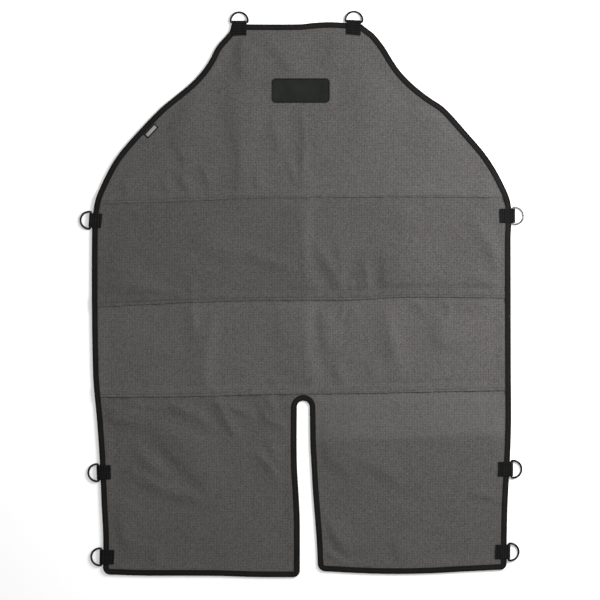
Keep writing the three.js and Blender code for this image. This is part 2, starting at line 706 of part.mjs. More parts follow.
// The place and outward direction of a tab on the finished edge
function tabPlace(tab) {
  if (tab.edge === "top") {
    const corner = tab.end === "left" ? topLeft : topRight;
    const x = corner.x - SIDE_SIGN[tab.end] * (tab.inFrom + WEBBING_WIDTH / 2);
    const share = (x - topLeft.x) / (topRight.x - topLeft.x);
    return { x, y: topY(share), facing: Math.PI / 2 };
  }
  const share = tab.edge === "left" ? 0 : 1;
  const heights = {
    waist: () => waistSeam(share) - tab.below - WEBBING_WIDTH / 2,
    thigh: () => tab.up * APRON_LENGTH,
    hem: () => hemY(tab.edge)(share) + tab.above + WEBBING_WIDTH / 2,
  };
  const y = heights[tab.name.split("_")[0]]();
  const half = WEBBING_WIDTH / 2;
  const lean = Math.atan2(sideX(tab.edge, y + half) - sideX(tab.edge, y - half), 2 * half);
  return { x: sideX(tab.edge, y), y, facing: (share ? 0 : Math.PI) - lean };
}

for (const tab of TABS) {
  const { x, y, facing } = tabPlace(tab);
  const place = new THREE.Group();
  place.position.set(x, y, 0);
  place.rotation.z = facing + THREE.MathUtils.degToRad(tab.turn);
  addMesh(`tab_${tab.name}`, tabGeometry(), WEBBING_FINISH, place);
  const finish = tab.name === "waist_right" ? BRIGHT_METAL : BLACK_METAL;
  const ring = addMesh(`ring_${tab.name}`, ringGeometry(), finish, place);
  ring.position.set(BAR_OUT, 0, LOOP_OUTER);
  ring.rotation.y = RING_TILT;
  group.add(place);
}

// The chest patch: a moulded plate with a raised rim, on the bib's face
const patch = addMesh("chest_patch", stackLoft([
  roundedLoop(PATCH_WIDTH, PATCH_HEIGHT, PATCH_CORNER, 0),
  roundedLoop(PATCH_WIDTH, PATCH_HEIGHT, PATCH_CORNER, PATCH_THICKNESS),
  roundedLoop(PATCH_WIDTH - PATCH_RIM * 2, PATCH_HEIGHT - PATCH_RIM * 2, PATCH_CORNER - PATCH_RIM,
    PATCH_THICKNESS),
  roundedLoop(PATCH_WIDTH - PATCH_RIM * 2, PATCH_HEIGHT - PATCH_RIM * 2, PATCH_CORNER - PATCH_RIM,
    PATCH_THICKNESS - PATCH_RECESS),
]), PATCH_FINISH);
patch.position.set(patchX, patchY, LIFT + CLOTH + FIT);

// The side tag: a small woven label along the armhole's binding
const tag = addMesh("side_tag", stackLoft([
  roundedLoop(TAG_LENGTH, TAG_DEPTH, TAG_CORNER, 0),
  roundedLoop(TAG_LENGTH, TAG_DEPTH, TAG_CORNER, TAG_THICKNESS),
]), TAG_FINISH);
tag.position.set(tagMiddle.x, tagMiddle.y, LIFT + CLOTH + FIT);
tag.rotation.z = tagAngle;

// The origin is the middle of the whole apron, on the floor
const box = new THREE.Box3().setFromObject(group, true);
group.position.set(-(box.min.x + box.max.x) / 2, -(box.min.y + box.max.y) / 2, -box.min.z);

export default group;
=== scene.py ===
"""A long split-leg work apron lying face up on a pale floor.

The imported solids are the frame. Each sub-assembly is a class that builds its fine meshes where the
frame has them and dresses them: the cloth panels, the folded binding, the stitching, the webbing
tabs, the D-rings, the chest patch and the side tag.
"""

import json
import logging
import math
from dataclasses import dataclass, field
from enum import Enum

import bpy
import numpy as np
from mathutils import Matrix, Vector


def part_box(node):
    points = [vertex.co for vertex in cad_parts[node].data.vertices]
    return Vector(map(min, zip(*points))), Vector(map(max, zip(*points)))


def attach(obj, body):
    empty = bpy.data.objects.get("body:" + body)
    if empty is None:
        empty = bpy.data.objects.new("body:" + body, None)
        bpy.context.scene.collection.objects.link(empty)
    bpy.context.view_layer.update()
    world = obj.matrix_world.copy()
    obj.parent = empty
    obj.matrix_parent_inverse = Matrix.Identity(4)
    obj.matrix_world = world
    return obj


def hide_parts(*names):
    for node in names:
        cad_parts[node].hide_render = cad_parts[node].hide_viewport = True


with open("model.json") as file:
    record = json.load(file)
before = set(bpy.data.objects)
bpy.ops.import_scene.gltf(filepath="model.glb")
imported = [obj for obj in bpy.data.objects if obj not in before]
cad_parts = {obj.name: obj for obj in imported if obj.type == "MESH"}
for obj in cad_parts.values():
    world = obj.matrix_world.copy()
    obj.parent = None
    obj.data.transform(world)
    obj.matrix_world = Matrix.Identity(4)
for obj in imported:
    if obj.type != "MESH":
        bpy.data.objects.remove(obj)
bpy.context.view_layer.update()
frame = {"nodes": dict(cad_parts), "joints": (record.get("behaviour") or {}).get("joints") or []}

logging.basicConfig(level=logging.INFO, format="%(message)s")
log = logging.getLogger("apron")

MM = 0.001
APRON = "apron"


class Side(Enum):
    """A side of the apron, with the sign of its X."""

    LEFT = -1
    RIGHT = 1

    @property
    def key(self) -> str:
        """The side's name in tables and pieces."""
        return self.name.lower()


class Seam(Enum):
    """A seam between two panels, by its column in the seams' table."""

    WAIST = "waist"
    LAP = "lap"
    LEGS = "legs"


@dataclass(frozen=True)
class Table:
    """Rows of shares with named columns; the first column rises, the others are read from it."""

    columns: tuple[str, ...]
    rows: tuple[tuple[float, ...], ...]

    def read(self, column: str, at: np.ndarray | float) -> np.ndarray:
        """Reads a column smoothly between the rows.

        Args:
            column: the name of the column.
            at: places in the first column.

        Returns:
            The column's values at those places.
        """
        data = np.array(self.rows)
        xs, ys = data[:, 0], data[:, self.columns.index(column)]
        last = len(xs) - 1
        before = np.maximum(np.arange(last + 1) - 1, 0)
        after = np.minimum(np.arange(last + 1) + 1, last)
        slopes = (ys[after] - ys[before]) / (xs[after] - xs[before])
        at = np.clip(np.asarray(at, float), xs[0], xs[last])
        i = np.clip(np.searchsorted(xs, at, side="right") - 1, 0, last - 1)
        width = xs[i + 1] - xs[i]
        t = (at - xs[i]) / width
        a, b = ys[i], ys[i + 1]
        p, q = slopes[i] * width, slopes[i + 1] * width
        return a + p * t + (3 * (b - a) - 2 * p - q) * t**2 + (2 * (a - b) + p + q) * t**3


# The outline's sides, top edge, seams, hems and the split's drift, in the shares of the solids
OUTLINE = Table(("up", "left", "right"), (
    (0.0, 0.952, 0.978), (0.067, 0.95, 0.979), (0.132, 0.958, 0.983), (0.218, 0.968, 0.995),
    (0.283, 0.98, 1.0), (0.37, 0.999, 0.999), (0.608, 1.004, 0.998), (0.673, 0.992, 0.998),
    (0.717, 0.947, 0.952), (0.76, 0.882, 0.883), (0.803, 0.785, 0.787), (0.847, 0.672, 0.68),
    (0.868, 0.604, 0.599), (0.89, 0.534, 0.527), (0.912, 0.479, 0.471), (0.933, 0.441, 0.432),
    (0.958, 0.406, 0.391), (0.98, 0.355, 0.344), (0.987, 0.343, 0.32), (0.997, 0.337, 0.285),
))
TOP_EDGE = Table(("across", "up"), (
    (0.0, 0.9973), (0.53, 0.9973), (0.63, 0.9998), (0.78, 1.0012), (1.0, 0.9973),
))
SEAMS = Table(("across", "waist", "lap", "legs"), (
    (0.0, 0.6723, 0.4864, 0.324), (0.25, 0.6786, 0.4954, 0.3258), (0.375, 0.6831, 0.4981, 0.3288),
    (0.5, 0.684, 0.499, 0.3294), (0.625, 0.6849, 0.4996, 0.3312), (0.75, 0.6858, 0.5045, 0.333),
    (1.0, 0.684, 0.5026, 0.3366),
))
HEMS = Table(("across", "left", "right"), (
    (0.0, 0.0046, 0.0105), (0.2, 0.0027, 0.0073), (0.4, 0.0027, 0.0058), (0.6, 0.0022, 0.007),
    (0.8, 0.0002, 0.0103), (1.0, 0.0, 0.0133),
))
SPLIT_DRIFT = Table(("up", "left", "right"), (
    (0.0, 0.0139, 0.0413), (0.22, 0.0143, 0.0331), (0.36, 0.0133, 0.0246), (0.5, 0.0076, 0.0154),
    (0.64, 0.0009, 0.0091), (0.78, -0.001, 0.003), (1.0, 0.0, 0.0),
))

# Along each seam: how high its stitched row runs above the folded edge, how deep the row draws the
# cloth in, how far the folded edge gapes and how much the seam stands up, all in mm
SEAM_ROWS = Table(("across", "waist", "lap", "legs"), (
    (0.0, 6.6, 8.4, 6.4), (0.12, 6.6, 7.6, 6.4), (0.3, 6.0, 6.2, 6.0), (0.42, 3.4, 6.4, 3.2),
    (0.55, 2.6, 6.2, 2.4), (0.7, 2.6, 5.2, 3.4), (0.85, 2.6, 5.2, 5.0), (1.0, 3.0, 5.6, 5.8),
))
SEAM_GROOVES = Table(("across", "waist", "lap", "legs"), (
    (0.0, 0.25, 0.25, 0.45), (0.05, 0.25, 0.5, 0.45), (0.1, 0.3, 1.0, 0.4), (0.22, 0.4, 0.9, 0.4),
    (0.35, 0.3, 0.5, 0.4), (0.55, 0.5, 0.55, 0.5), (0.8, 0.55, 0.6, 0.55), (1.0, 0.6, 0.5, 0.6),
))
SEAM_LIPS = Table(("across", "waist", "lap", "legs"), (
    (0.0, 0.6, 1.4, 1.4), (0.04, 0.6, 1.4, 1.4), (0.07, 0.6, 0.9, 1.4), (0.17, 0.6, 1.0, 1.3),
    (0.2, 0.6, 0.25, 1.2), (0.27, 0.5, 0.2, 0.6), (0.34, 0.7, 0.3, 1.3), (0.42, 0.9, 0.9, 1.4),
    (0.5, 1.0, 1.2, 1.2), (0.6, 1.1, 1.1, 1.1), (0.68, 1.1, 0.5, 1.2), (0.78, 1.1, 0.3, 1.5),
    (0.9, 1.1, 0.3, 1.3), (1.0, 1.3, 0.4, 1.7),
))
SEAM_BULK = Table(("across", "waist", "lap", "legs"), (
    (0.0, 1.2, 0.4, 1.6), (0.3, 1.6, 0.6, 1.4), (0.5, 2.6, 1.2, 0.8), (0.7, 3.6, 1.8, 0.2),
    (1.0, 3.6, 2.0, 0.2),
))


@dataclass(frozen=True)
class Fold:
    """A ridge in the cloth along a line of places.

    Places are shares of the half width and of the length. `rise` is in mm, `left` and `right` are
    its reach in mm to each side of its line, and `pinch` goes from 0, rounded, to 1, sharp.
    """

    line: tuple[tuple[float, float], ...]
    rise: float
    left: float
    right: float
    pinch: float = 0.5


# Each panel's lightness, painted to stand in for how the light falls on that panel, and how much paler
# painted light makes its band under the seam
PANEL_PAINTED_LIGHT = (("bib", 1.02, 0.0), ("waist", 0.96, 0.0), ("lap", 1.12, 0.0), ("leg", 1.03, 0.12))

FOLDS = (
    # The bib: creases under the left tab, down the middle, and the fan above its seam
    Fold(((-0.284, 0.995), (-0.277, 0.890)), 5.4, 45, 16, 0.2),
    Fold(((-0.302, 0.880), (-0.283, 0.780)), 6.1, 50, 34, 0.0),
    Fold(((-0.301, 0.814), (-0.297, 0.671)), 5.1, 34, 16, 0.3),
    Fold(((-0.263, 1.000), (0.028, 0.897)), 6.1, 40, 19, 0.2),
    Fold(((-0.022, 0.868), (0.004, 0.800), (-0.001, 0.668)), 3.6, 15, 13, 0.4),
    Fold(((0.064, 0.848), (0.076, 0.762)), 2.7, 40, 16, 0.0),
    Fold(((-0.492, 0.874), (-0.578, 0.781)), 6.1, 45, 34, 0.0),
    Fold(((-0.606, 0.791), (-0.544, 0.729)), 3.3, 24, 10, 0.2),
    Fold(((-0.592, 0.735), (-0.523, 0.685)), 3.3, 14, 10, 0.2),
    Fold(((-0.480, 0.745), (-0.430, 0.690)), 3.3, 14, 10, 0.2),
    Fold(((-0.670, 0.719), (-0.620, 0.681)), 2.4, 12, 8, 0.2),
    Fold(((-0.233, 0.739), (-0.202, 0.696)), 2.9, 16, 9, 0.2),
    Fold(((-0.156, 0.848), (-0.094, 0.762)), 3.5, 30, 14, 0.0),
    Fold(((-0.063, 0.754), (-0.032, 0.711)), 2.3, 12, 8, 0.2),
    Fold(((0.575, 0.872), (0.625, 0.748)), 4.5, 60, 60, 0.0),
    Fold(((0.171, 0.987), (0.159, 0.913)), 3.5, 50, 30, 0.0),
    Fold(((0.299, 0.913), (0.311, 0.777)), 3.1, 60, 34, 0.0),
    Fold(((-0.851, 0.719), (-0.839, 0.676)), 2.4, 20, 8, 0.2),
    # The waist panel: its middle ridge, the fan to its right and the slack at its right end
    Fold(((0.022, 0.713), (0.018, 0.477)), 7.2, 15, 60, 0.1),
    Fold(((0.004, 0.703), (0.001, 0.560), (0.002, 0.487)), 1.4, 26, 5, 0.2),
    Fold(((0.047, 0.550), (0.078, 0.495)), 4.6, 16, 14, 0.2),
    Fold(((0.060, 0.611), (0.150, 0.545), (0.222, 0.495)), 5.5, 17, 17, 0.2),
    Fold(((0.161, 0.606), (0.204, 0.544)), 3.8, 18, 12, 0.2),
    Fold(((0.297, 0.572), (0.328, 0.498)), 5.5, 12, 17, 0.4),
    Fold(((0.399, 0.588), (0.411, 0.507)), 4.1, 40, 13, 0.1),
    Fold(((0.233, 0.538), (0.252, 0.505)), 2.4, 7, 8, 0.3),
    Fold(((0.274, 0.538), (0.286, 0.507)), 2.4, 7, 8, 0.3),
    Fold(((0.501, 0.669), (0.489, 0.626)), 2.7, 40, 20, 0.0),
    Fold(((0.469, 0.582), (0.476, 0.541)), 2.4, 30, 13, 0.0),
    Fold(((0.528, 0.608), (0.497, 0.522)), 8.2, 45, 60, 0.1),
    Fold(((0.400, 0.515), (0.700, 0.518), (0.980, 0.508)), 8.5, 50, 24, 0.0),
    Fold(((0.816, 0.648), (0.900, 0.600), (0.936, 0.546)), 4.9, 18, 15, 0.2),
    Fold(((0.780, 0.548), (0.990, 0.519)), 5.4, 14, 16, 0.3),
    Fold(((-0.940, 0.545), (-0.530, 0.495)), 5.9, 13, 26, 0.3),
    Fold(((-0.952, 0.562), (-0.728, 0.538)), 2.8, 14, 12, 0.1),
    Fold(((-0.524, 0.602), (-0.276, 0.583)), 3.8, 26, 20, 0.0),
    Fold(((-0.306, 0.586), (-0.034, 0.559)), 4.9, 14, 15, 0.2),
    Fold(((-0.529, 0.535), (-0.510, 0.435)), 4.9, 11, 15, 0.4),
    # The lap panel's upright creases
    Fold(((0.022, 0.518), (0.024, 0.410), (0.040, 0.320)), 6.9, 17, 56, 0.1),
    Fold(((0.002, 0.500), (0.001, 0.400), (0.014, 0.335)), 1.0, 24, 6, 0.1),
    Fold(((0.104, 0.494), (0.116, 0.401)), 5.4, 24, 16, 0.1),
    Fold(((0.202, 0.500), (0.178, 0.450)), 2.8, 9, 8, 0.2),
    Fold(((0.247, 0.500), (0.223, 0.450)), 2.8, 9, 8, 0.2),
    Fold(((0.262, 0.494), (0.265, 0.451)), 2.3, 12, 8, 0.1),
    Fold(((-0.432, 0.474), (-0.465, 0.326)), 6.1, 14, 34, 0.3),
    Fold(((0.401, 0.488), (0.425, 0.440), (0.461, 0.356)), 5.4, 19, 20, 0.2),
    Fold(((0.547, 0.503), (0.578, 0.472)), 2.8, 9, 9, 0.3),
    Fold(((0.682, 0.503), (0.713, 0.472)), 3.1, 9, 9, 0.3),
    Fold(((0.664, 0.482), (0.671, 0.408)), 6.1, 44, 22, 0.1),
    Fold(((-0.159, 0.364), (-0.121, 0.341)), 2.2, 14, 7, 0.2),
    Fold(((-0.100, 0.492), (-0.100, 0.423)), 1.8, 30, 12, 0.0),
    Fold(((0.162, 0.390), (0.193, 0.340)), 2.8, 12, 10, 0.2),
    Fold(((0.346, 0.395), (0.339, 0.340)), 2.4, 40, 16, 0.0),
    # The left leg: wavy creases under its seam, the bent one, and the slanting folds below
    Fold(((-0.999, 0.302), (-0.701, 0.285)), 5.8, 13, 18, 0.4),
    Fold(((-0.993, 0.285), (-0.757, 0.283)), 4.1, 9, 13, 0.4),
    Fold(((-0.848, 0.316), (-0.662, 0.304)), 3.6, 14, 11, 0.1),
    Fold(((-0.670, 0.320), (-0.490, 0.292), (-0.406, 0.263)), 5.8, 13, 18, 0.3),
    Fold(((-0.439, 0.331), (-0.385, 0.312), (-0.360, 0.285), (-0.318, 0.249)), 5.4, 14, 16, 0.4),
    Fold(((-0.381, 0.315), (-0.219, 0.287)), 3.8, 12, 12, 0.3),
    Fold(((-0.180, 0.340), (-0.125, 0.290)), 4.4, 12, 14, 0.3),
    Fold(((-0.207, 0.309), (-0.165, 0.283), (-0.057, 0.270)), 3.5, 10, 11, 0.3),
    Fold(((-0.730, 0.269), (-0.420, 0.231)), 5.8, 22, 26, 0.0),
    Fold(((-0.806, 0.235), (-0.710, 0.205), (-0.632, 0.175)), 5.8, 15, 18, 0.2),
    Fold(((-0.682, 0.259), (-0.550, 0.205), (-0.418, 0.145)), 6.1, 40, 20, 0.0),
    Fold(((-0.852, 0.202), (-0.660, 0.160), (-0.432, 0.132)), 5.5, 16, 17, 0.2),
    Fold(((-0.228, 0.230), (-0.150, 0.198), (-0.108, 0.170)), 4.7, 11, 14, 0.4),
    Fold(((-0.178, 0.250), (-0.092, 0.195)), 3.1, 20, 9, 0.1),
    Fold(((-0.892, 0.122), (-0.823, 0.053)), 4.6, 26, 14, 0.1),
    Fold(((-0.937, 0.131), (-0.763, 0.121)), 2.9, 14, 9, 0.2),
    Fold(((-0.701, 0.065), (-0.694, 0.015)), 3.1, 14, 18, 0.1),
    # The right leg: the pale band under its seam, its faint slants, and the corner by the split
    Fold(((-0.016, 0.248), (0.500, 0.250), (1.076, 0.257)), 11.0, 90, 70, 0.3),
    Fold(((0.216, 0.227), (0.360, 0.198), (0.492, 0.168)), 5.1, 30, 16, 0.1),
    Fold(((0.117, 0.230), (0.253, 0.175)), 3.5, 30, 16, 0.0),
    Fold(((0.806, 0.151), (0.954, 0.142)), 2.9, 14, 9, 0.2),
    Fold(((0.433, 0.065), (0.507, 0.010)), 3.6, 30, 13, 0.1),
    Fold(((0.114, 0.107), (0.226, 0.038)), 6.4, 26, 16, 0.1),
    Fold(((0.094, 0.056), (0.211, 0.018)), 4.6, 10, 14, 0.6),
)


# How much rounder than the tape's width each hem corner is, in mm, by leg and outer or not
CORNER_EASE = {(Side.LEFT, True): 3, (Side.LEFT, False): 1.5,
               (Side.RIGHT, False): 4.3, (Side.RIGHT, True): 1.5}


@dataclass(frozen=True)
class Pattern:
    """The apron's sizes in mm, the same as the solids', and its edges in the frame's place."""

    length: float = 1219
    width: float = 920
    cloth: float = 1.5
    tape: float = 0.8
    webbing: float = 1.4
    fit: float = 0.3
    leaf: float = 12.7
    lap: float = 12
    lap_tuck: float = 2
    lap_ramp: float = 12
    step_before: float = 1
    step_after: float = 5
    split_gap: float = 28.1
    split_centre: float = 0.0062
    split_to_seam: float = 0.9
    patch_across: float = -0.0048

    @property
    def half(self) -> float:
        """Half of the apron's width."""
        return self.width / 2

    @property
    def lift(self) -> float:
        """The height of the cloth's underside at its bound edge."""
        return self.webbing + self.fit + self.tape + self.fit

    @property
    def lap_rise(self) -> float:
        """How far a panel steps up over the one below it."""
        return self.cloth + self.fit

    @property
    def arch_radius(self) -> float:
        """The radius of the split's round top."""
        return self.split_gap / 2

    @property
    def arch_base(self) -> float:
        """The height above the hem where the split's arch begins."""
        seam = float(self.seam_y(Seam.LEGS, (1 + self.split_centre) / 2))
        return seam - self.split_to_seam - self.leaf - self.arch_radius

    @property
    def origin(self) -> np.ndarray:
        """Where the solids put the pattern's own zero, in mm, from the patch and the binding."""
        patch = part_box("chest_patch")
        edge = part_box("edge_binding")
        x = (patch[0][0] + patch[1][0]) / 2 / MM - self.patch_across * self.half
        return np.array([x, edge[0][1] / MM])

    def side_x(self, side: Side, y: np.ndarray | float) -> np.ndarray:
        """The finished side's X at heights above the hem."""
        return side.value * self.half * OUTLINE.read(side.key, np.asarray(y) / self.length)

    def seam_y(self, seam: Seam, share: np.ndarray | float) -> np.ndarray:
        """A seam's height at shares of the apron's width from its left."""
        return self.length * SEAMS.read(seam.value, share)

    def top_y(self, share: np.ndarray | float) -> np.ndarray:
        """The bib's top edge at shares of its width from its left."""
        return self.length * TOP_EDGE.read("up", share)

    def hem_y(self, leg: Side, share: np.ndarray | float) -> np.ndarray:
        """A leg's hem at shares of the leg's width from its left."""
        return self.length * HEMS.read(leg.key, share)

    def split_x(self, leg: Side, y: np.ndarray | float) -> np.ndarray:
        """The split's side along one leg, up to and round its arch."""
        y = np.asarray(y, float)
        drift = self.half * SPLIT_DRIFT.read(leg.key, np.minimum(y / self.arch_base, 1))
        over = np.clip(y - self.arch_base, 0, self.arch_radius)
        across = np.sqrt(self.arch_radius**2 - over**2)
        return self.split_centre * self.half + leg.value * across + drift

    def corner_radius(self, leg: Side, outer: bool) -> float:
        """The radius of one of the hem's four corners."""
        return self.leaf + CORNER_EASE[leg, outer]


PATTERN = Pattern()


def loop_normals(points: np.ndarray) -> np.ndarray:
    """The way into the cloth at each point of a closed loop that has the cloth on its right.

    Args:
        points: the loop's points, one row each.

    Returns:
        One vector a point, long enough that offsets keep every stretch's distance.
    """
    ahead = np.roll(points, -1, 0) - points
    ahead /= np.linalg.norm(ahead, axis=1)[:, None]
    both = ahead + np.roll(ahead, 1, 0)
    inward = np.stack([both[:, 1], -both[:, 0]], 1)
    return inward * (2 / (inward**2).sum(1))[:, None]


@dataclass
class FinishedEdge:
    """The apron's whole finished edge as one fine closed loop, with the cloth on its right."""

    pattern: Pattern = PATTERN
    pitch: float = 3.0
    corner_steps: int = 9
    sharp_corner_clear: float = 7.0
    points: np.ndarray = field(init=False)
    inward: np.ndarray = field(init=False)
    along: np.ndarray = field(init=False)

    def __post_init__(self) -> None:
        """Builds the loop: left side, top, right side, right hem, split, left hem."""
        left, right = self.side(Side.LEFT), self.side(Side.RIGHT)
        top = self.top(left[-1], right[-1])
        parts = [left, top[1:-1], right[::-1], self.hem(Side.RIGHT)[::-1][1:-1]]
        parts += [self.split_side(Side.RIGHT)[:-1], self.arch(), self.split_side(Side.LEFT)[::-1][1:]]
        parts += [self.hem(Side.LEFT)[::-1][1:-1]]
        loop = np.concatenate(parts)
        corners = [left[-1], right[-1]]
        keep = np.ones(len(loop), bool)
        for corner in corners:
            distance = np.linalg.norm(loop - corner, axis=1)
            keep &= (distance > self.sharp_corner_clear) | (distance < MM)
        self.points = loop[keep]
        self.inward = loop_normals(self.points)
        steps = np.linalg.norm(np.roll(self.points, -1, 0) - self.points, axis=1)
        self.along = np.concatenate([[0], np.cumsum(steps)[:-1]])

    def spaced(self, start: float, end: float) -> np.ndarray:
        """Even places between two, about one pitch apart."""
        return np.linspace(start, end, max(2, round(abs(end - start) / self.pitch) + 1))

    def corner(self, x: float, y: float, radius: float, into: int) -> np.ndarray:
        """A hem corner's arc, from the hem up to the side.

        Args:
            x: the side's place.
            y: the hem's height.
            radius: the corner's radius.
            into: the sign of the way from the side to the hem.

        Returns:
            The arc's points.
        """
        angle = np.linspace(0, math.pi / 2, self.corner_steps)
        return np.stack([x + into * radius * (1 - np.sin(angle)),
                         y + radius * (1 - np.cos(angle))], 1)

    def side(self, side: Side) -> np.ndarray:
        """One outer side, from the hem's corner up to the bib's corner."""
        p = self.pattern
        share = 0.0 if side is Side.LEFT else 1.0
        hem = float(p.hem_y(side, share))
        radius = p.corner_radius(side, True)
        ys = self.spaced(hem + radius, float(p.top_y(share)))
        xs = p.side_x(side, ys)
        return np.concatenate([self.corner(xs[0], hem, radius, -side.value)[:-1],
                               np.stack([xs, ys], 1)])

    def split_side(self, leg: Side) -> np.ndarray:
        """A leg's side of the split, from the hem's corner up to the arch."""
        p = self.pattern
        share = 1.0 if leg is Side.LEFT else 0.0
        hem = float(p.hem_y(leg, share))
        radius = p.corner_radius(leg, False)
        ys = self.spaced(hem + radius, p.arch_base)
        xs = p.split_x(leg, ys)
        return np.concatenate([self.corner(xs[0], hem, radius, leg.value)[:-1],
                               np.stack([xs, ys], 1)])

    def arch(self) -> np.ndarray:
        """The split's arch, from right to left."""
        p = self.pattern
        angle = np.linspace(0, math.pi, 2 * self.corner_steps)
        return np.stack([p.split_centre * p.half + p.arch_radius * np.cos(angle),
                         p.arch_base + p.arch_radius * np.sin(angle)], 1)

    def top(self, start: np.ndarray, end: np.ndarray) -> np.ndarray:
        """The bib's top edge between its two corners."""
        xs = self.spaced(start[0], end[0])
        return np.stack([xs, self.pattern.top_y((xs - start[0]) / (end[0] - start[0]))], 1)

    def hem(self, leg: Side) -> np.ndarray:
        """A leg's hem between its two corners, from left to right."""
        outer, inner = self.side(leg)[0], self.split_side(leg)[0]
        start, end = (outer, inner) if leg is Side.LEFT else (inner, outer)
        xs = self.spaced(start[0], end[0])
        share = (xs - start[0]) / (end[0] - start[0])
        return np.stack([xs, self.pattern.hem_y(leg, share)], 1)

    def tape_step(self) -> np.ndarray:
        """How far the tape steps up at each point, in mm, where it crosses a lap."""
        p = self.pattern
        step = np.zeros(len(self.points))
        for side in Side:
            share = 0.0 if side is Side.LEFT else 1.0
            here = self.points[:, 0] * side.value > 0.8 * p.half
            for seam in Seam:
                above = self.points[:, 1] - float(p.seam_y(seam, share))
                rising = (above + p.lap_ramp + p.step_before) / p.lap_ramp
                falling = (p.lap + p.step_after + p.lap_ramp - above) / p.lap_ramp
                bump = np.clip(np.minimum(rising, falling), 0, 1)
                step = np.maximum(step, np.where(here, smooth(bump), 0) * p.lap_rise)
        return step

    def offset(self, into: float) -> np.ndarray:
        """The loop moved into the cloth."""
        return self.points + into * self.inward


def smooth(t: np.ndarray) -> np.ndarray:
    """A soft step from 0 to 1."""
    t = np.clip(t, 0, 1)
    return t * t * (3 - 2 * t)


def wander(x: np.ndarray, y: np.ndarray, size: float, seed: int, waves: int = 14) -> np.ndarray:
    """Smooth random hills over a plane.

    Args:
        x: places across.
        y: places up.
        size: the hills' rough length in the same unit.
        seed: the seed of the random waves.
        waves: how many waves are added up.

    Returns:
        Heights of about -1 to 1.
    """
    rng = np.random.default_rng(seed)
    total = np.zeros(np.broadcast(x, y).shape)
    for _ in range(waves):
        heading, phase = rng.uniform(0, 2 * math.pi, 2)
        rate = 2 * math.pi / (size * rng.uniform(0.7, 1.6))
        total += np.sin(rate * (x * math.cos(heading) + y * math.sin(heading)) + phase)
    return total / math.sqrt(waves) / 1.4


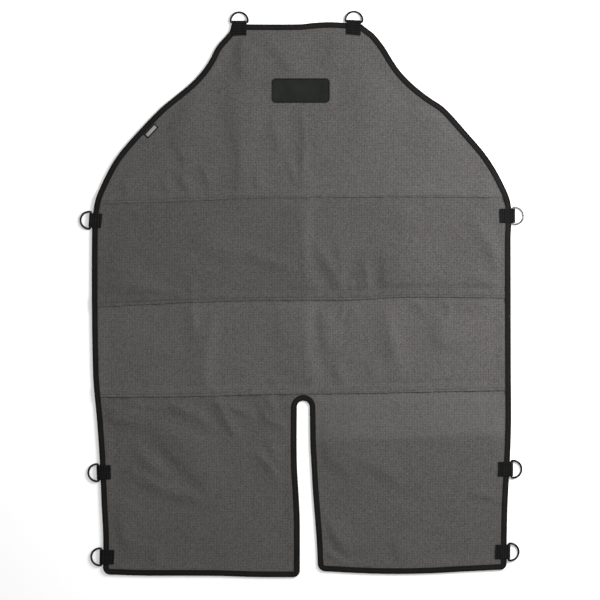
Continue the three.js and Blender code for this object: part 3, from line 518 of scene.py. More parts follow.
@dataclass
class ClothRelief:
    """The height of the cloth's underside: flat at its edges, folded and sagging between them."""

    edge: FinishedEdge
    rim_flat: float = 14.5
    patch_flat: float = 5.0
    tag_flat: float = 4.0
    fade: float = 24.0
    floor_gap: float = 0.15
    pucker_rise: float = 0.32
    pucker_reach: float = 26.0
    bulk_reach: float = 32.0
    seam_hold: float = 0.45
    trim_fade_share: float = 0.7
    end_share: float = 0.86
    end_power: float = 3.4
    bend_share: float = 0.02
    pinch_rate: float = 1.6
    swells: tuple[tuple[float, float, int], ...] = ((1.2, 190, 1), (0.4, 70, 2), (0.08, 26, 3))
    slack: float = 1.1
    most_rise: float = 13.0

    def to_edge(self, x: np.ndarray, y: np.ndarray) -> np.ndarray:
        """The distance from each place to the finished edge."""
        loop = self.edge.points[::2]
        flat = np.stack([x.ravel(), y.ravel()], 1)
        nearest = [np.sqrt(((part[:, None] - loop[None]) ** 2).sum(2).min(1))
                   for part in np.array_split(flat, max(1, len(flat) // 4000))]
        return np.concatenate(nearest).reshape(x.shape)

    def to_box(self, x: np.ndarray, y: np.ndarray, node: str) -> np.ndarray:
        """The distance in plan from each place to a node's box."""
        low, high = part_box(node)
        origin = PATTERN.origin
        gaps = []
        for i, place in enumerate((x, y)):
            middle = (low[i] + high[i]) / 2 / MM - origin[i]
            gaps.append(np.maximum(np.abs(place - middle) - (high[i] - low[i]) / 2 / MM, 0))
        return np.hypot(*gaps)

    def to_seam(self, x: np.ndarray, y: np.ndarray) -> np.ndarray:
        """The distance from each place to the nearest lap."""
        share = (x / PATTERN.half + 1) / 2
        above = np.stack([y - PATTERN.seam_y(seam, share) for seam in Seam])
        return np.maximum(np.maximum(-above, above - PATTERN.lap), 0).min(0)

    def folds(self, x: np.ndarray, y: np.ndarray) -> np.ndarray:
        """The folds' height, each a ridge along its line that fades out towards its ends."""
        total = np.zeros(x.shape)
        for n, fold in enumerate(FOLDS):
            line = np.array(fold.line) * (PATTERN.half, PATTERN.length)
            reach = 0.2 * np.hypot(*np.ptp(line, axis=0))
            margin = 2.5 * max(fold.left, fold.right) + reach
            low, high = line.min(0) - margin, line.max(0) + margin
            near = (x > low[0]) & (x < high[0]) & (y > low[1]) & (y < high[1])
            if near.any():
                total[near] += self.ridge(fold, line, x[near], y[near], n)
        return total

    def ridge(self, fold: Fold, line: np.ndarray, x: np.ndarray, y: np.ndarray,
              number: int) -> np.ndarray:
        """One fold's height over the places near it.

        Args:
            fold: the fold.
            line: its line in mm.
            x: places across.
            y: places up.
            number: the fold's number, which sets how its line wanders.

        Returns:
            The height in mm.
        """
        ways = np.diff(line, axis=0)
        longs = np.hypot(ways[:, 0], ways[:, 1])
        starts = np.concatenate([[0], np.cumsum(longs)])
        best, off, along = np.full(x.shape, 1e9), np.zeros(x.shape), np.zeros(x.shape)
        for i, (start, way, long) in enumerate(zip(line, ways / longs[:, None], longs)):
            ahead = (x - start[0]) * way[0] + (y - start[1]) * way[1]
            beside = (y - start[1]) * way[0] - (x - start[0]) * way[1]
            kept = np.clip(ahead, -1e9 if i == 0 else 0, 1e9 if i == len(longs) - 1 else long)
            away = np.hypot(beside, ahead - np.clip(ahead, 0, long))
            closer = away < best
            best = np.where(closer, away, best)
            off = np.where(closer, np.copysign(np.hypot(beside, ahead - kept), beside), off)
            along = np.where(closer, starts[i] + kept, along)
        share = along / starts[-1]
        bend = np.clip(share, -0.3, 1.3)
        off = off + self.bend_share * starts[-1] * np.sin(bend * (3 + number % 4) + number)
        scaled = np.abs(off) / np.where(off > 0, fold.left, fold.right)
        sharp = np.exp(-self.pinch_rate * scaled)
        shape = (1 - fold.pinch) * np.exp(-scaled**2) + fold.pinch * sharp
        ends = np.exp(-(np.abs(2 * share - 1) / self.end_share) ** self.end_power)
        return fold.rise * shape * ends

    def puckers(self, x: np.ndarray, away: np.ndarray, y: np.ndarray) -> np.ndarray:
        """The seams' small ripples, the same above and below a seam."""
        slant = x + 0.35 * y
        ripple = wander(slant, y * 0.15, 40.0, 5) + 0.45 * wander(slant, y * 0.12, 17.0, 6)
        where = smooth(0.6 + 0.9 * wander(x, y * 0.3, 260.0, 8))
        return self.pucker_rise * ripple * where * np.exp(-((away / self.pucker_reach) ** 2))

    def bulk(self, x: np.ndarray, y: np.ndarray) -> np.ndarray:
        """How far the layers of each seam lift the cloth on both sides of it."""
        share = (x / PATTERN.half + 1) / 2
        total = np.zeros(x.shape)
        for seam in Seam:
            off = (y - PATTERN.seam_y(seam, share) - PATTERN.lap / 2) / self.bulk_reach
            total += SEAM_BULK.read(seam.value, share) * np.exp(-off**2)
        return total

    def held(self, x: np.ndarray, y: np.ndarray) -> np.ndarray:
        """How free the cloth is, from 0 where it is sewn flat to 1."""
        patch, tag = self.to_box(x, y, "chest_patch"), self.to_box(x, y, "side_tag")
        return np.minimum.reduce([
            smooth((self.to_edge(x, y) - self.rim_flat) / self.fade),
            smooth((patch - self.patch_flat) / (self.fade * self.trim_fade_share)),
            smooth((tag - self.tag_flat) / (self.fade * self.trim_fade_share)),
        ])

    def height(self, x: np.ndarray, y: np.ndarray) -> np.ndarray:
        """The underside's height in mm over places in mm."""
        held, seam = self.held(x, y), self.to_seam(x, y)
        free = held * (self.seam_hold + (1 - self.seam_hold) * smooth(seam / self.fade))
        sag = PATTERN.lift * (1 - held)
        loose = sum(rise * wander(x, y, size, seed) for rise, size, seed in self.swells)
        risen = self.folds(x, y) + self.slack + loose
        risen = self.most_rise * np.tanh(risen / self.most_rise)
        bulge = free * risen + held * self.bulk(x, y)
        bulge += held * self.puckers(x, seam, y)
        return np.maximum(sag + bulge, self.floor_gap + 0.1 * (1 + wander(x, y, 60, 7)))


def new_mesh(name: str, points: np.ndarray, faces: list, uv: np.ndarray | None = None,
             place: bool = True) -> bpy.types.Object:
    """Makes a smooth-shaded object from points in mm.

    Args:
        name: the object's name.
        points: the points in mm, in the pattern's own place.
        faces: lists of point numbers.
        uv: one U and V for each point, or None.
        place: whether the points still have to move to the frame's place.

    Returns:
        The new object, with its place in its mesh.
    """
    points = np.array(points, float)
    if place:
        points[:, :2] += PATTERN.origin
    mesh = bpy.data.meshes.new(name)
    mesh.from_pydata((points * MM).tolist(), [], faces)
    mesh.validate()
    if uv is not None:
        layer = mesh.uv_layers.new(name="pattern")
        corners = np.zeros(len(mesh.loops), np.int32)
        mesh.loops.foreach_get("vertex_index", corners)
        layer.data.foreach_set("uv", np.asarray(uv, float)[corners].ravel())
    mesh.shade_smooth()
    obj = bpy.data.objects.new(name, mesh)
    bpy.context.scene.collection.objects.link(obj)
    return obj


def grid_faces(rows: int, columns: int, start: int = 0) -> list[tuple[int, ...]]:
    """The faces of a grid of points listed row by row, seen from above."""
    return [(start + j * columns + i, start + j * columns + i + 1,
             start + (j + 1) * columns + i + 1, start + (j + 1) * columns + i)
            for j in range(rows - 1) for i in range(columns - 1)]


def loft_faces(sections: int, size: int, closed: bool, start: int = 0) -> list[tuple[int, ...]]:
    """The faces of a stack of closed sections.

    Args:
        sections: how many sections there are.
        size: the points in each.
        closed: whether the last section meets the first.
        start: the number of the first point.

    Returns:
        The faces, with fans of one face at open ends.
    """
    faces = []
    for j in range(sections if closed else sections - 1):
        a, b = start + j * size, start + ((j + 1) % sections) * size
        faces += [(a + i, a + (i + 1) % size, b + (i + 1) % size, b + i) for i in range(size)]
    if not closed:
        faces.append(tuple(range(start + size - 1, start - 1, -1)))
        faces.append(tuple(range(start + (sections - 1) * size, start + sections * size)))
    return faces


def select_alone(obj: bpy.types.Object) -> None:
    """Selects one object and makes it the active one."""
    bpy.ops.object.select_all(action="DESELECT")
    obj.select_set(True)
    bpy.context.view_layer.objects.active = obj


def apply_modifier(obj: bpy.types.Object, kind: str, **settings: object) -> None:
    """Adds a modifier, sets it and applies it.

    Args:
        obj: the object.
        kind: the modifier's type.
        settings: the modifier's properties.
    """
    modifier = obj.modifiers.new(kind.lower(), kind)
    for key, value in settings.items():
        setattr(modifier, key, value)
    select_alone(obj)
    bpy.ops.object.modifier_apply(modifier=modifier.name)


def dress(obj: bpy.types.Object, body: str, material: bpy.types.Material,
          replaces: tuple[str, ...] = ()) -> None:
    """Finishes a piece: its material, the body that carries it and what it replaces."""
    if not obj.data.materials:
        obj.data.materials.append(material)
    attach(obj, body)
    if replaces:
        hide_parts(*replaces)
    log.info("%s: %d faces on %s", obj.name, len(obj.data.polygons), body)


class NodeBuilder:
    """Adds nodes to a tree and joins them by short calls."""

    def __init__(self, tree: bpy.types.NodeTree) -> None:
        """Keeps the tree that the nodes go into."""
        self.tree = tree

    def add(self, kind: str, *inputs: object, **settings: object) -> bpy.types.Node:
        """Adds a node.

        Args:
            kind: the node's type without its prefix.
            inputs: values or output sockets for its first inputs, with None left alone.
            settings: the node's own properties, or inputs by name with spaces as underscores.

        Returns:
            The new node.
        """
        node = self.tree.nodes.new("ShaderNode" + kind)
        named = {key: value for key, value in settings.items() if not hasattr(node, key)}
        for key, value in settings.items():
            if key not in named:
                setattr(node, key, value)
        for index, value in enumerate(inputs):
            self.put(node.inputs[index], value)
        for key, value in named.items():
            self.put(node.inputs[key.replace("_", " ")], value)
        return node

    def put(self, socket: bpy.types.NodeSocket, value: object) -> None:
        """Sets a socket to a value, or joins it to an output."""
        if value is None:
            return
        if isinstance(value, bpy.types.NodeSocket):
            self.tree.links.new(value, socket)
        else:
            socket.default_value = value

    def math(self, operation: str, a: object, b: object = None,
             clamp: bool = False) -> bpy.types.NodeSocket:
        """One step of arithmetic."""
        return self.add("Math", a, b, operation=operation, use_clamp=clamp).outputs[0]

    def weighted(self, start: float, *parts: tuple[bpy.types.NodeSocket, float]) -> object:
        """A start value with each part's value times its share added to it."""
        total: object = start
        for value, share in parts:
            total = self.math("ADD", total, self.math("MULTIPLY", value, share))
        return total

    def noise(self, vector: object, scale: float, detail: float = 2.0,
              rough: float = 0.5) -> bpy.types.NodeSocket:
        """Noise from 0 to 1 over a vector."""
        node = self.add("TexNoise", Vector=vector, Scale=scale, Detail=detail, Roughness=rough)
        return node.outputs["Fac"]

    def spread(self, value: object, low: float, high: float, to_low: float = 0.0,
               to_high: float = 1.0) -> bpy.types.NodeSocket:
        """A value moved from one range to another, kept inside it."""
        return self.add("MapRange", value, low, high, to_low, to_high).outputs[0]

    def mix(self, factor: object, a: object, b: object, how: str = "MIX") -> bpy.types.NodeSocket:
        """Two colours mixed."""
        node = self.add("Mix", data_type="RGBA", blend_type=how, clamp_factor=True)
        self.put(node.inputs[0], factor)
        self.put(node.inputs[6], a)
        self.put(node.inputs[7], b)
        return node.outputs[2]


def node_group(name: str, inputs: dict[str, float | tuple], outputs: dict[str, str]) -> tuple:
    """Makes an empty shader node group.

    Args:
        name: the group's name.
        inputs: the inputs' names and first values; a tuple of three makes a vector.
        outputs: the outputs' names and socket types.

    Returns:
        The group, a builder for it, its inputs' sockets and its output node.
    """
    tree = bpy.data.node_groups.new(name, "ShaderNodeTree")
    for key, value in inputs.items():
        kind = "NodeSocketVector" if isinstance(value, tuple) else "NodeSocketFloat"
        socket = tree.interface.new_socket(key, in_out="INPUT", socket_type=kind)
        socket.default_value = value
    for key, kind in outputs.items():
        tree.interface.new_socket(key, in_out="OUTPUT", socket_type=kind)
    start, end = tree.nodes.new("NodeGroupInput"), tree.nodes.new("NodeGroupOutput")
    return tree, NodeBuilder(tree), start.outputs, end


class Effects:
    """The shared shader node groups, each built once."""

    def __init__(self) -> None:
        """Builds every group."""
        self.weave = self.make_weave()
        self.ribs = self.make_ribs()
        self.wear = self.make_wear()

    def make_weave(self) -> bpy.types.NodeTree:
        """A plain weave's dots over a flat cloth, with uneven yarns and speckle."""
        group, n, given, end = node_group(
            "cloth_weave",
            {"Place": (0.0, 0.0, 0.0), "Pitch": 0.0034, "Unevenness": 0.2},
            {"Height": "NodeSocketFloat", "Dots": "NodeSocketFloat", "Speckle": "NodeSocketFloat"},
        )
        drift = n.add("TexNoise", Vector=given["Place"], Scale=26.0, Detail=2.0)
        pushed = n.add("VectorMath", drift.outputs["Color"], operation="SCALE")
        n.put(pushed.inputs["Scale"], n.math("MULTIPLY", given["Pitch"], given["Unevenness"]))
        moved = n.add("VectorMath", given["Place"], pushed.outputs[0], operation="ADD")
        rate = n.math("DIVIDE", 2 * math.pi, given["Pitch"])
        turned = n.add("VectorMath", moved.outputs[0], operation="SCALE")
        n.put(turned.inputs["Scale"], rate)
        axes = n.add("SeparateXYZ", turned.outputs[0])
        warp = n.math("SINE", axes.outputs[0])
        weft = n.math("SINE", n.math("MULTIPLY", axes.outputs[1], 1.06))
        lines = n.math("ADD", n.math("MULTIPLY", warp, 0.36), n.math("MULTIPLY", weft, 0.28))
        crossed = n.math("MULTIPLY", n.math("MULTIPLY", warp, weft), 0.36)
        dots = n.math("ADD", lines, crossed)
        knot, fleck = self.crossings(n, moved.outputs[0], given["Pitch"])
        yarn = n.noise(moved.outputs[0], 620.0, 3.0, 0.7)
        height = n.math("ADD", n.math("MULTIPLY", dots, 0.3), n.math("MULTIPLY", yarn, 0.6))
        n.put(end.inputs["Height"], n.math("ADD", height, n.math("MULTIPLY", knot, 0.8)))
        n.put(end.inputs["Dots"], n.spread(dots, -1.0, 1.0))
        fine = n.spread(n.noise(given["Place"], 900.0, 2.0, 0.8), 0.38, 0.62)
        n.put(end.inputs["Speckle"], n.weighted(0.0, (fleck, 0.52), (fine, 0.26), (knot, 0.22)))
        return group

    def crossings(self, n: NodeBuilder, place: bpy.types.NodeSocket,
                  pitch: bpy.types.NodeSocket) -> tuple[bpy.types.NodeSocket, ...]:
        """The crossings of single yarns, a third of the dots' pitch apart.

        Args:
            n: the group's nodes.
            place: the place in metres.
            pitch: the dots' pitch in metres.

        Returns:
            Each crossing's swell from 0 at its sides to 1, and its own random lightness.
        """
        level = n.add("VectorMath", place, (1, 1, 0), operation="MULTIPLY")
        counted = n.add("VectorMath", level.outputs[0], operation="SCALE")
        n.put(counted.inputs["Scale"], n.math("DIVIDE", 3.1, pitch))
        cell = n.add("VectorMath", counted.outputs[0], operation="FLOOR")
        fleck = n.add("TexWhiteNoise", Vector=cell.outputs[0], noise_dimensions="3D")
        turned = n.add("VectorMath", counted.outputs[0], operation="SCALE")
        n.put(turned.inputs["Scale"], math.pi)
        axes = n.add("SeparateXYZ", turned.outputs[0])
        swells = [n.math("ABSOLUTE", n.math("SINE", axes.outputs[i])) for i in (0, 1)]
        return n.math("MULTIPLY", *swells), fleck.outputs["Value"]

    def make_ribs(self) -> bpy.types.NodeTree:
        """Narrow woven ribs across one axis of a strip, crossed by finer threads; their Shade is painted
        light on the ribs' crests and painted shade in their dips, with random fuzz.
        """
        group, n, given, end = node_group(
            "strip_ribs",
            {"Along": 0.0, "Across": 0.0, "Rib": 0.0013, "Thread": 0.0006},
            {"Height": "NodeSocketFloat", "Shade": "NodeSocketFloat"},
        )
        turns = (n.math("DIVIDE", given[way], given[size])
                 for way, size in (("Along", "Rib"), ("Across", "Thread")))
        rib, fine = (n.math("SINE", n.math("MULTIPLY", turn, 2 * math.pi)) for turn in turns)
        place = n.add("CombineXYZ", given["Along"], given["Across"]).outputs[0]
        fuzz = n.noise(place, 900.0, 2.0, 0.7)
        crossed = n.math("ADD", n.math("MULTIPLY", rib, 0.5), n.math("MULTIPLY", fine, 0.22))
        n.put(end.inputs["Height"], n.math("ADD", crossed, n.math("MULTIPLY", fuzz, 0.5)))
        n.put(end.inputs["Shade"], n.math("ADD", n.math("MULTIPLY", rib, 0.5), fuzz, clamp=True))
        return group

    def make_wear(self) -> bpy.types.NodeTree:
        """Broad uneven tone and fine grain for any finish."""
        group, n, given, end = node_group(
            "uneven_tone",
            {"Place": (0.0, 0.0, 0.0), "Broad": 9.0, "Fine": 260.0},
            {"Broad tone": "NodeSocketFloat", "Grain": "NodeSocketFloat"},
        )
        broad = n.add("TexNoise", Vector=given["Place"], Scale=given["Broad"], Detail=4.0)
        grain = n.add("TexNoise", Vector=given["Place"], Scale=given["Fine"], Detail=3.0)
        n.put(end.inputs["Broad tone"], n.spread(broad.outputs["Fac"], 0.3, 0.7))
        n.put(end.inputs["Grain"], grain.outputs["Fac"])
        return group


def new_material(name: str) -> tuple[bpy.types.Material, NodeBuilder, bpy.types.Node]:
    """Makes a material with a Principled BSDF.

    Args:
        name: the material's name.

    Returns:
        The material, a builder for its nodes and its shader.
    """
    material = bpy.data.materials.new(name)
    material.use_nodes = True
    shader = material.node_tree.nodes["Principled BSDF"]
    return material, NodeBuilder(material.node_tree), shader


def object_place(n: NodeBuilder) -> bpy.types.NodeSocket:
    """The object's own coordinates."""
    return n.add("TexCoord").outputs["Object"]


def use_group(n: NodeBuilder, group: bpy.types.NodeTree, **values: object) -> bpy.types.Node:
    """Places a shared group in a material with its own values."""
    node = n.tree.nodes.new("ShaderNodeGroup")
    node.node_tree = group
    for key, value in values.items():
        n.put(node.inputs[key], value)
    return node


def set_plain(shader: bpy.types.Node, **values: float) -> None:
    """Sets values that are the same all over, by socket names with spaces as underscores."""
    for key, value in values.items():
        shader.inputs[key.replace("_", " ")].default_value = value


def set_bump(n: NodeBuilder, shader: bpy.types.Node, height: object, distance: float,
             strength: float = 1.0) -> None:
    """Feeds a height to the shader's normal through a bump."""
    bump = n.add("Bump", Strength=strength, Distance=distance, Height=height)
    n.put(shader.inputs["Normal"], bump.outputs[0])


@dataclass(frozen=True)
class ClothFinish:
    """Dense matt cloth: grey yarn with darker hollows, speckle and faint broad tones, with painted light
    scaling each panel's colour and paling one band.
    """

    panel: str
    # Painted light: the panel's colour is scaled lighter or darker for how the light falls on it
    tone: float
    dark: tuple[float, ...] = (0.0150, 0.0142, 0.0139)
    light: tuple[float, ...] = (0.0965, 0.0925, 0.0900)
    # Painted light: how much paler a band of the cloth is painted for a fold's lit flank, and the crease
    # where that band ends
    painted_lit_band: float = 0.0
    crease: tuple[float, float] = (-0.3215, -0.3125)
    crease_slope: float = 0.022
    crease_waver: float = 0.006
    pitch: float = 0.0058
    bump: float = 0.00022

    def build(self, effects: Effects) -> bpy.types.Material:
        """Makes the material.

        Args:
            effects: the shared node groups.

        Returns:
            The material.
        """
        material, n, shader = new_material(f"grey_cloth_{self.panel}")
        place = object_place(n)
        weave = use_group(n, effects.weave, Place=place, Pitch=self.pitch)
        tone = use_group(n, effects.wear, Place=place, Broad=7.0, Fine=900.0)
        mottle = n.noise(place, 45.0, 3.0, 0.6)
        parts = [(weave.outputs["Dots"], 0.34), (weave.outputs["Speckle"], 0.80),
                 (tone.outputs["Broad tone"], 0.04), (mottle, 0.05), (tone.outputs["Grain"], 0.16)]
        # The band of painted light on the right leg, from its seam down to the crease
        if self.painted_lit_band:
            parts.append((self.painted_lit_band_mask(n, place), self.painted_lit_band))
        total = n.weighted(-0.16, *parts)
        # Both colours are scaled by the panel's painted light
        low, high = ((*(c * self.tone for c in shade), 1) for shade in (self.dark, self.light))
        n.put(shader.inputs["Base Color"], n.mix(total, low, high))
        rough = n.spread(weave.outputs["Speckle"], 0.0, 1.0, 0.86, 0.98)
        n.put(shader.inputs["Roughness"], rough)
        set_plain(shader, Sheen_Weight=0.05, Sheen_Roughness=0.6, Specular_IOR_Level=0.12)
        set_bump(n, shader, weave.outputs["Height"], self.bump, 0.7)
        return material

    def painted_lit_band_mask(self, n: NodeBuilder, place: bpy.types.NodeSocket) -> bpy.types.NodeSocket:
        """Where the right leg is painted paler, from its seam down to a long low crease, as painted
        light on that fold's lit flank.
        """
        axes = n.add("SeparateXYZ", place)
        level = n.math("ADD", axes.outputs[1], n.math("MULTIPLY", axes.outputs[0], -self.crease_slope))
        waver = n.math("MULTIPLY", n.noise(place, 18.0, 2.0, 0.5), self.crease_waver)
        above = n.spread(n.math("ADD", level, waver), *self.crease)
        return n.math("MULTIPLY", above, n.spread(axes.outputs[0], 0.0, 0.01))


@dataclass(frozen=True)
class Finish:
    """A material's name and the two colours that its tone runs between."""

    name: str
    dark: tuple[float, ...]
    light: tuple[float, ...]


@dataclass(frozen=True)
class StripFinish(Finish):
    """Woven tape or webbing: dark ribs with a lighter middle line, with painted light on their ridges
    and painted shade in their dips.
    """

    rib: float
    thread: float
    middle: float
    middle_width: float
    bump: float

    def build(self, effects: Effects) -> bpy.types.Material:
        """Makes the material from the piece's own UV map, in metres along and across.

        Args:
            effects: the shared node groups.

        Returns:
            The material.
        """
        material, n, shader = new_material(self.name)
        uv = n.add("SeparateXYZ", n.add("UVMap", uv_map="pattern").outputs[0])
        along, across = uv.outputs[0], uv.outputs[1]
        ribs = use_group(n, effects.ribs, Along=along, Across=across, Rib=self.rib,
                         Thread=self.thread)
        tone = use_group(n, effects.wear, Place=object_place(n), Broad=22.0, Fine=700.0)
        off = n.math("ABSOLUTE", n.math("SUBTRACT", across, self.middle))
        line = n.spread(off, 0.0, self.middle_width, 1.0, 0.0)
        # The ribs' Shade paints their crests lighter and their dips darker
        total = n.weighted(-0.12, (ribs.outputs["Shade"], 0.38), (tone.outputs["Broad tone"], 0.22),
                           (line, 0.30), (tone.outputs["Grain"], 0.25))
        n.put(shader.inputs["Base Color"], n.mix(total, self.dark, self.light))
        n.put(shader.inputs["Roughness"], n.spread(tone.outputs["Grain"], 0.2, 0.8, 0.66, 0.9))
        set_plain(shader, Sheen_Weight=0.03, Specular_IOR_Level=0.05)
        set_bump(n, shader, ribs.outputs["Height"], self.bump, 0.9)
        return material


@dataclass(frozen=True)
class ThreadFinish(Finish):
    """Sewing thread: a twisted, slightly shiny yarn."""

    def build(self, effects: Effects) -> bpy.types.Material:
        """Makes the material.

        Args:
            effects: the shared node groups.

        Returns:
            The material.
        """
        material, n, shader = new_material(self.name)
        tone = use_group(n, effects.wear, Place=object_place(n), Broad=40.0, Fine=1500.0)
        n.put(shader.inputs["Base Color"], n.mix(tone.outputs["Grain"], self.dark, self.light))
        n.put(shader.inputs["Roughness"], n.spread(tone.outputs["Broad tone"], 0, 1, 0.55, 0.75))
        set_plain(shader, Specular_IOR_Level=0.15)
        set_bump(n, shader, tone.outputs["Grain"], 0.0001, 0.6)
        return material


@dataclass(frozen=True)
class MetalFinish(Finish):
    """Plated steel wire with faint drawing marks and handling wear."""

    rough: tuple[float, float]
    coat: float

    def build(self, effects: Effects) -> bpy.types.Material:
        """Makes the material.

        Args:
            effects: the shared node groups.

        Returns:
            The material.
        """
        material, n, shader = new_material(self.name)
        set_plain(shader, Metallic=1.0, Coat_Weight=self.coat, Coat_Roughness=self.rough[0] / 2)
        tone = use_group(n, effects.wear, Place=object_place(n), Broad=120.0, Fine=900.0)
        worn = n.math("POWER", tone.outputs["Broad tone"], 2.0)
        n.put(shader.inputs["Base Color"], n.mix(worn, self.dark, self.light))
        n.put(shader.inputs["Roughness"], n.spread(tone.outputs["Grain"], 0.3, 0.7, *self.rough))
        set_bump(n, shader, tone.outputs["Grain"], 0.00003, 0.5)
        return material


@dataclass(frozen=True)
class MouldedFinish(Finish):
    """A moulded or coated surface with a fine pebbled grain."""

    rough: tuple[float, float]
    shine: float = 0.07
    grain: float = 900.0
    bump: float = 0.00012

    def build(self, effects: Effects) -> bpy.types.Material:
        """Makes the material.

        Args:
            effects: the shared node groups.

        Returns:
            The material.
        """
        material, n, shader = new_material(self.name)
        tone = use_group(n, effects.wear, Place=object_place(n), Broad=35.0, Fine=self.grain)
        both = n.math("ADD", n.math("MULTIPLY", tone.outputs["Broad tone"], 0.5),
                      n.math("MULTIPLY", tone.outputs["Grain"], 0.5))
        n.put(shader.inputs["Base Color"], n.mix(both, self.dark, self.light))
        n.put(shader.inputs["Roughness"], n.spread(tone.outputs["Grain"], 0.2, 0.8, *self.rough))
        set_plain(shader, Specular_IOR_Level=self.shine)
        set_bump(n, shader, tone.outputs["Grain"], self.bump, 0.8)
        return material


@dataclass
class Wardrobe:
    """Every finish of the apron, built once."""

    effects: Effects = field(default_factory=Effects)

    def __post_init__(self) -> None:
        """Builds the materials."""
        e = self.effects
        black, soft = (0.0024, 0.0022, 0.0021, 1), (0.0150, 0.0138, 0.0132, 1)
        self.cloth = {panel: ClothFinish(panel, tone, painted_lit_band=painted_lit_band).build(e)
                      for panel, tone, painted_lit_band in PANEL_PAINTED_LIGHT}
        self.tape = StripFinish(
            "ribbed_tape", black, soft, rib=0.0016, thread=0.0007, middle=0.0062,
            middle_width=0.0022, bump=0.00018).build(e)
        self.webbing = StripFinish(
            "ribbed_webbing", (0.0011, 0.0011, 0.0011, 1), (0.0120, 0.0118, 0.0117, 1),
            rib=0.0056, thread=0.0029, middle=0.0, middle_width=0.001, bump=0.0003).build(e)
        self.thread = ThreadFinish("black_thread", (0.003, 0.0028, 0.0026, 1),
                                   (0.016, 0.015, 0.014, 1)).build(e)
        self.seam_thread = ThreadFinish("grey_thread", (0.014, 0.013, 0.0125, 1),
                                        (0.040, 0.038, 0.037, 1)).build(e)
        # One plated metal for every ring: seven are painted dark and one bright, standing in for the
        # dark and the light that each one reflects
        self.black_metal = MetalFinish(
            "plated_wire_painted_dark", (0.005, 0.005, 0.0055, 1), (0.020, 0.020, 0.021, 1),
            rough=(0.12, 0.22), coat=0.12).build(e)
        self.bright_metal = MetalFinish(
            "plated_wire_painted_bright", (0.10, 0.10, 0.105, 1), (0.27, 0.275, 0.285, 1),
            rough=(0.20, 0.36), coat=0.0).build(e)
        self.patch_face = MouldedFinish(
            "patch_face", (0.0050, 0.0058, 0.0045, 1), (0.0118, 0.0132, 0.0108, 1),
            rough=(0.62, 0.8)).build(e)
        self.patch_rim = MouldedFinish(
            "patch_rim", (0.0030, 0.0036, 0.0027, 1), (0.0068, 0.0076, 0.0060, 1),
            rough=(0.5, 0.7)).build(e)
        self.tag_frame = MouldedFinish(
            "tag_frame", (0.003, 0.003, 0.003, 1), (0.011, 0.011, 0.011, 1),
            rough=(0.7, 0.9), grain=1400.0).build(e)
        self.tag_face = MouldedFinish(
            "tag_face", (0.12, 0.118, 0.118, 1), (0.27, 0.265, 0.265, 1),
            rough=(0.75, 0.95), grain=1400.0).build(e)


